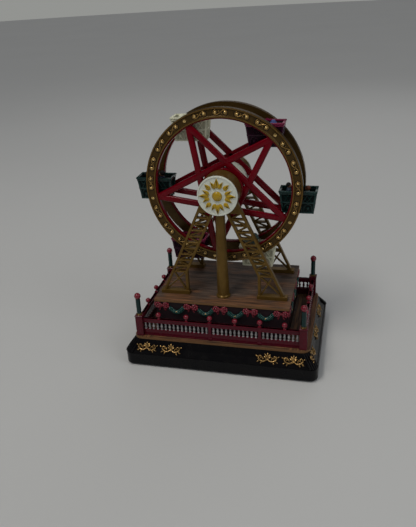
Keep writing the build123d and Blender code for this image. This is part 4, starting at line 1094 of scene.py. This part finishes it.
def on_frieze(x, y, z):
    """From a drawing facing -Y to the riser wall that this place lies on."""
    if abs(y) > 28.5:
        return shift(x, math.copysign(29.45, y), z) @ (BACK if y > 0 else Matrix())
    return shift(math.copysign(41.95, x), y, z) @ turn(90 if x > 0 else -90, "Z")


KNOT_Z, SAG_Z = 38.7, 34.9
BOW_X, BOW_Y = (-38, -19, 0, 19, 38), (-25.5, -8.5, 8.5, 25.5)
SWAG_X, SWAG_Y = (-28.5, -9.5, 9.5, 28.5), (-17, 0, 17)
for name, master, height, work_name, across_front, along_side in (
    ("frieze_bows", bow(), KNOT_Z, "bow_work", BOW_X, BOW_Y),
    ("frieze_swags", garland(), SAG_Z, "garland_work", SWAG_X, SWAG_Y),
):
    spots = [(x, y) for x in across_front for y in (-29.5, 29.5)]
    spots += [(x, y) for x in (-42, 42) for y in along_side]
    made = [copy_of(master, work_name + "_copy", on_frieze(x, y, height)) for x, y in spots]
    discard(master)
    seated(joined(work_name, made), [name])


# ---- plinth band
def acanthus():
    """A palm of leaves between two scrolls, drawn in X and Z and facing -Y."""
    parts = []
    for lean, length in ((-58, 2.5), (-30, 3.1), (0, 3.5), (30, 3.1), (58, 2.5)):
        leaf = bead("palm_leaf", (0, 0, length * 0.55), (0.62, 0.4, length * 0.55), 10, 8)
        parts.append(moved(leaf, turn(lean, "Y")))
    parts.append(bead("palm_foot", (0, -0.15, -0.3), (0.9, 0.5, 0.7), 12, 8))
    curl = [
        (0.6, 0, -0.6), (2.4, -0.1, -1.5), (4.6, -0.1, -0.9), (5.6, 0, 0.7), (4.6, 0, 1.7),
        (3.7, 0, 0.9), (4.3, 0, 0.2),
    ]
    for side in (-1, 1):
        line = [(side * x, y, z) for x, y, z in curl]
        parts.append(tube("palm_scroll", line, 0.5, 3, [0.7, 1.1, 1.1, 1.0, 0.9, 0.8, 0.7]))
        for x, z, lean in ((2.6, -0.3, 25), (3.6, -2.0, 150), (5.3, -1.5, 120), (6.2, 1.2, 60)):
            leaf = bead("side_leaf", (0, 0, 0.6), (0.4, 0.3, 0.85), 8, 6)
            parts.append(moved(leaf, shift(side * x, 0, z) @ turn(side * lean, "Y")))
    return painted(smoothed(joined("acanthus", parts), 60), "leaf_gold")


BAND_LEAN = turn(-math.degrees(math.atan2(5.3, 8.4)), "X")
band_front = shift(0, -41.2, 13.0) @ BAND_LEAN
band_side = turn(90, "Z") @ shift(0, -58.0, 14.6) @ BAND_LEAN
leafwork = acanthus()
made = []
for spots, band in (
    ([(x, 0) for x in (-47.0, -31.0, 31.0, 47.0)], band_front),
    ([(0, y) for y in (-34.0, -8.0, 20.0)], band_side),
):
    for x, y in spots:
        for half in (Matrix(), BACK):
            made.append(copy_of(leafwork, "acanthus_copy", half @ shift(x, y, 0) @ band))
discard(leafwork)
work = joined("band_acanthus", made)
seated(work, body="base")
made = []
for sx in (-1, 1):
    for sy in (-1, 1):
        for k in range(5):
            angle = math.radians(90 * (k + 0.5) / 5)
            ox, oy = sx * math.cos(angle), sy * math.sin(angle)
            foot = (sx * 56.9 + ox * 4.6, sy * 38.8 + oy * 4.6, 9.2)
            head = (sx * 51.7 + ox * 4.5, sy * 33.6 + oy * 4.5, 17.0)
            middle = [(a + b) / 2 for a, b in zip(foot, head)]
            middle[0] += ox * 0.15
            middle[1] += oy * 0.15
            made.append(tube("corner_flute", [foot, middle, head], 0.75, 4, [1.1, 0.95, 0.7]))
work = painted(joined("corner_flutes", made), "black_lacquer")
smoothed(work, 50)
seated(work, body="base")

# ---- crank grip
GRIP = [
    (49.4, 2.6), (49.8, 3.1), (50.6, 3.3), (51.2, 2.9), (52.0, 3.0), (54.0, 3.5), (56.6, 3.8),
    (58.8, 3.5), (59.8, 2.9), (60.4, 2.0),
]
on_crank = shift(0, 0, 14.0) @ turn(-90, "X")
grip = moved(turned("grip_work", GRIP, 32), on_crank)
band = turned_ring("grip_band", [(3.0, 51.1), (3.25, 51.25), (3.25, 51.7), (3.0, 51.85)], 32)
pieces = [painted(grip, "dark_red"), painted(moved(band, on_crank), "bright_gold")]
seated(smoothed(joined("grip_work", pieces), 40), ["crank_grip"])

# ---- floor, light and camera
deselect()
bpy.ops.mesh.primitive_circle_add(
    vertices=96, radius=6.0, fill_type="NGON", location=(0, 0, -0.00002)
)
floor = settle(named("studio_floor"))
pale = bpy.data.materials.new("pale_floor")
pale.use_nodes = True
tree = pale.node_tree
cloud = noise(tree, node(tree, "TexCoord").outputs["Object"], 3.0, 4.0)
tone = blended(tree, cloud, (0.54, 0.54, 0.525, 1), (0.58, 0.58, 0.565, 1))
tree.links.new(tone, tree.nodes["Principled BSDF"].inputs["Base Color"])
tree.nodes["Principled BSDF"].inputs["Roughness"].default_value = 0.8
floor.data.materials.append(pale)

world = bpy.data.worlds.new("studio")
scene.world = world
world.use_nodes = True
tree = world.node_tree
tree.nodes.clear()


def sky(colour, strength):
    links = [("Color", (*colour, 1)), ("Strength", strength)]
    return node(tree, "Background", links).outputs[0]


def either(share, first, second):
    return node(tree, "MixShader", [(0, share), (1, first), (2, second)]).outputs[0]


rays = node(tree, "LightPath").outputs
seen = calc(tree, "MAXIMUM", rays["Is Camera Ray"], rays["Is Transmission Ray"])
lit = either(rays["Is Glossy Ray"], sky((0.9, 0.94, 1.0), 0.24), sky((0.9, 0.9, 0.9), 0.03))
shown = either(seen, lit, sky((0.29, 0.295, 0.282), 1.0))
tree.links.new(shown, node(tree, "OutputWorld").inputs[0])


def light(kind, name, place, energy, colour):
    deselect()
    bpy.ops.object.light_add(type=kind, location=place)
    lamp = bpy.context.active_object
    lamp.name = name
    lamp.data.name = name
    lamp.data.energy = energy
    lamp.data.color = colour
    return lamp


def soft_light(name, place, aim, size, energy, colour=(1, 1, 1)):
    lamp = light("AREA", name, place, energy, colour)
    lamp.data.shape = "RECTANGLE"
    lamp.data.size, lamp.data.size_y = size
    lamp.rotation_euler = (Vector(aim) - Vector(place)).to_track_quat("-Z", "Y").to_euler()


WARM_WHITE = (1.0, 0.97, 0.92)
TARGET = (0, 0, 0.08)
sun = light("SUN", "ceiling_sun", (0, 0, 1), 0.5, WARM_WHITE)
sun.data.angle = math.radians(14)
sun.rotation_euler = (math.radians(38), 0, math.radians(-28))
soft_light("ceiling_light", (-0.25, -0.3, 0.9), TARGET, (0.3, 0.25), 1.9, WARM_WHITE)
soft_light("side_light", (0.6, -0.25, 0.6), TARGET, (0.4, 0.4), 0.9, (0.97, 0.98, 1.0))
soft_light("back_light", (0.1, 0.8, 0.6), TARGET, (0.8, 0.3), 0.6)

TURN, RISE, ROLL, DISTANCE, LENS = 0.2622, 0.4468, -0.0563, 385.47, 50.43
flat = Vector((math.cos(TURN), math.sin(TURN), 0))
level = Vector((math.sin(TURN), -math.cos(TURN), 0))
back_way = level * math.cos(RISE) + Vector((0, 0, math.sin(RISE)))
high = back_way.cross(flat)
across = flat * math.cos(ROLL) + high * math.sin(ROLL)
upward = -flat * math.sin(ROLL) + high * math.cos(ROLL)
eye = Vector((-14.222, 0, 55.376)) + back_way * DISTANCE
deselect()
bpy.ops.object.camera_add()
camera = named("camera")
view = Matrix((across, upward, back_way)).transposed().to_4x4()
camera.matrix_world = Matrix.Translation(eye * MM) @ view
camera.data.sensor_fit = "HORIZONTAL"
camera.data.sensor_width = 36
camera.data.lens = LENS
camera.data.clip_start = 0.01
camera.data.clip_end = 20
scene.camera = camera
scene.view_settings.view_transform = "Standard"
